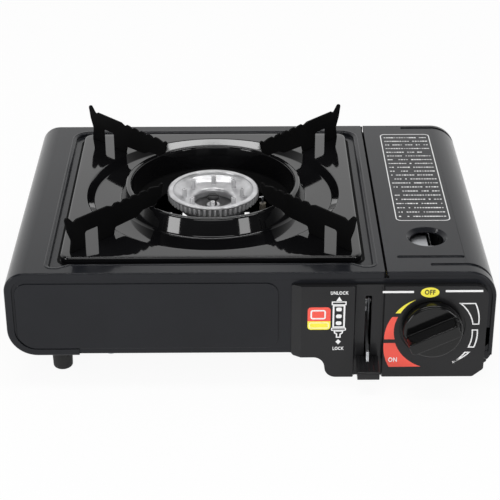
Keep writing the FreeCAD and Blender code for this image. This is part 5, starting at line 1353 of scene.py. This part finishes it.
class STOVE_OT_stage(bpy.types.Operator):
    """Floor, room light, lamps and the camera."""

    bl_idname = "stove.stage"
    bl_label = "Stage"

    def execute(self, context):
        look = context.scene.stove_stage
        self.camera(context)
        self.floor(look)
        self.room(context, look)
        self.lamps(look)
        context.scene.view_settings.view_transform = "Standard"
        return {"FINISHED"}

    @staticmethod
    def camera(context):
        """The photograph's viewpoint."""
        lens = bpy.data.cameras.new("camera")
        lens.sensor_width = 36.0
        lens.lens = 111.541
        lens.clip_end = 20.0
        camera = new_object("camera", lens)
        right = Vector((0.99998258, -0.00530556, -0.00258708))
        up = Vector((0.00479142, 0.47362721, 0.88071239))
        forward = Vector((0.00344736, 0.88070944, -0.47364438))
        turn = Matrix((right, up, -forward)).transposed().to_4x4()
        camera.matrix_world = Matrix.Translation((-0.003936, -1.053264, 0.608851)) @ turn
        context.scene.camera = camera

    @staticmethod
    def floor(look):
        """A wide pale floor that shows white and keeps a soft shadow."""
        edit = bmesh.new()
        bmesh.ops.create_grid(edit, x_segments=1, y_segments=1, size=12.0)
        floor = new_object("floor", mesh_from(edit, "floor"))
        material, shader, new, link = new_material("floor_paper")
        shader.inputs["Roughness"].default_value = 0.9
        shader.inputs["Specular IOR Level"].default_value = 0.1
        speckle = new("ShaderNodeGroup")
        speckle.node_tree = shared_group("surface_speckle", speckle_group)
        speckle.inputs["Broad Scale"].default_value = 1.5
        varied(new, link, shader.inputs["Base Color"], speckle.outputs["Shade"],
               tuple(part * 0.995 for part in look.floor), tuple(look.floor))
        paths = new("ShaderNodeLightPath")
        glow = new("ShaderNodeEmission")
        mix = new("ShaderNodeMixShader")
        seen = new("ShaderNodeMath")
        seen.operation = "MAXIMUM"
        share = new("ShaderNodeMath")
        share.operation = "MULTIPLY"
        share.inputs[1].default_value = 0.93
        link(paths.outputs["Is Camera Ray"], seen.inputs[0])
        link(paths.outputs["Is Glossy Ray"], seen.inputs[1])
        link(seen.outputs["Value"], share.inputs[0])
        link(share.outputs["Value"], mix.inputs["Fac"])
        link(shader.outputs["BSDF"], mix.inputs[1])
        link(glow.outputs["Emission"], mix.inputs[2])
        output = next(node for node in material.node_tree.nodes
                      if node.type == "OUTPUT_MATERIAL")
        link(mix.outputs["Shader"], output.inputs["Surface"])
        floor.data.materials.append(material)

    @staticmethod
    def room(context, look):
        """A white backdrop and, as gloss shows it, a dark room behind the camera."""
        world = bpy.data.worlds.new("room")
        world.use_nodes = True
        context.scene.world = world
        tree = world.node_tree
        new, link = tree.nodes.new, tree.links.new
        background = tree.nodes["Background"]
        background.inputs["Color"].default_value = (1.0, 1.0, 1.0, 1.0)
        place = new("ShaderNodeTexCoord")
        axes = new("ShaderNodeSeparateXYZ")
        gloss = new("ShaderNodeMapRange")
        gloss.interpolation_type = "SMOOTHSTEP"
        gloss.inputs["From Min"].default_value = -0.25
        gloss.inputs["From Max"].default_value = 0.55
        gloss.inputs["To Min"].default_value = look.dark_side
        overhead = new("ShaderNodeMapRange")
        overhead.interpolation_type = "SMOOTHSTEP"
        overhead.inputs["From Min"].default_value = 0.60
        overhead.inputs["From Max"].default_value = 0.86
        overhead.inputs["To Min"].default_value = 1.0
        overhead.inputs["To Max"].default_value = look.overhead
        sides = new("ShaderNodeMath")
        sides.operation = "MULTIPLY"
        link(place.outputs["Generated"], axes.inputs["Vector"])
        link(axes.outputs["Y"], gloss.inputs["Value"])
        link(axes.outputs["Z"], overhead.inputs["Value"])
        link(gloss.outputs["Result"], sides.inputs[0])
        link(overhead.outputs["Result"], sides.inputs[1])
        paths = new("ShaderNodeLightPath")
        lit = new("ShaderNodeMix")
        lit.inputs["A"].default_value = look.ambient
        clear = new("ShaderNodeMath")
        clear.operation = "MAXIMUM"
        strength = new("ShaderNodeMix")
        strength.inputs["B"].default_value = 1.0
        link(paths.outputs["Is Glossy Ray"], lit.inputs["Factor"])
        link(sides.outputs["Value"], lit.inputs["B"])
        link(paths.outputs["Is Camera Ray"], clear.inputs[0])
        link(paths.outputs["Is Transmission Ray"], clear.inputs[1])
        link(clear.outputs["Value"], strength.inputs["Factor"])
        link(lit.outputs["Result"], strength.inputs["A"])
        link(strength.outputs["Result"], background.inputs["Strength"])

    def lamps(self, look):
        """An overhead soft light, a soft front fill and two tall strips in front."""
        self.lamp("key", look.key, (1.5, 0.16), (0.0, 0.05, 1.4), (0.0, 0.05, 0.0))
        self.lamp("fill", look.fill, (1.6, 0.5), (0.0, -1.7, 1.1), (0.0, 0.0, 0.05))
        self.lamp("strip_left", look.strip, (0.40, 0.55), (-1.19, -1.07, 0.30),
                  (0.0, 0.0, 0.1))
        self.lamp("strip_right", 0.6 * look.strip, (0.36, 0.55), (0.98, -1.27, 0.30),
                  (0.0, 0.0, 0.1))

    @staticmethod
    def lamp(name, watts, size, spot, target):
        """A rectangular soft lamp aimed at a point."""
        light = bpy.data.lights.new(name, "AREA")
        light.shape = "RECTANGLE"
        light.size, light.size_y = size
        light.energy = watts
        lamp = new_object(name, light)
        aim = Vector(target) - Vector(spot)
        turn = aim.to_track_quat("-Z", "Y").to_matrix().to_4x4()
        lamp.matrix_world = Matrix.Translation(spot) @ turn


class STOVE_PT_panel(bpy.types.Panel):
    """Steps that dress the stove."""

    bl_label = "Stove"
    bl_idname = "STOVE_PT_panel"
    bl_space_type = "VIEW_3D"
    bl_region_type = "UI"
    bl_category = "Stove"

    def draw(self, context):
        for step in STEPS:
            self.layout.operator(step.bl_idname)


SETTINGS = {
    "stove_finishes": StoveFinishes,
    "stove_tray": StoveTray,
    "stove_burner": StoveBurner,
    "stove_print": StovePrint,
    "stove_edges": StoveEdges,
    "stove_stage": StoveStage,
}
STEPS = (STOVE_OT_stage, STOVE_OT_finishes, STOVE_OT_lead, STOVE_OT_case, STOVE_OT_drip_tray,
         STOVE_OT_blades, STOVE_OT_burner, STOVE_OT_controls, STOVE_OT_gas_side,
         STOVE_OT_prints)
CLASSES = (*SETTINGS.values(), *STEPS, STOVE_PT_panel)


def register():
    """Register the classes and the settings."""
    for item in CLASSES:
        bpy.utils.register_class(item)
    for name, kind in SETTINGS.items():
        setattr(bpy.types.Scene, name, PointerProperty(type=kind))


def unregister():
    """Take the settings and the classes away again."""
    for name in SETTINGS:
        delattr(bpy.types.Scene, name)
    for item in reversed(CLASSES):
        bpy.utils.unregister_class(item)


def main():
    """Dress the stove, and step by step."""
    register()
    bpy.ops.stove.stage()
    bpy.ops.stove.finishes()
    bpy.ops.stove.lead()
    bpy.ops.stove.case()
    bpy.ops.stove.drip_tray()
    bpy.ops.stove.blades()
    bpy.ops.stove.burner()
    bpy.ops.stove.controls()
    bpy.ops.stove.gas_side()
    bpy.ops.stove.prints()


if __name__ == "__main__":
    main()
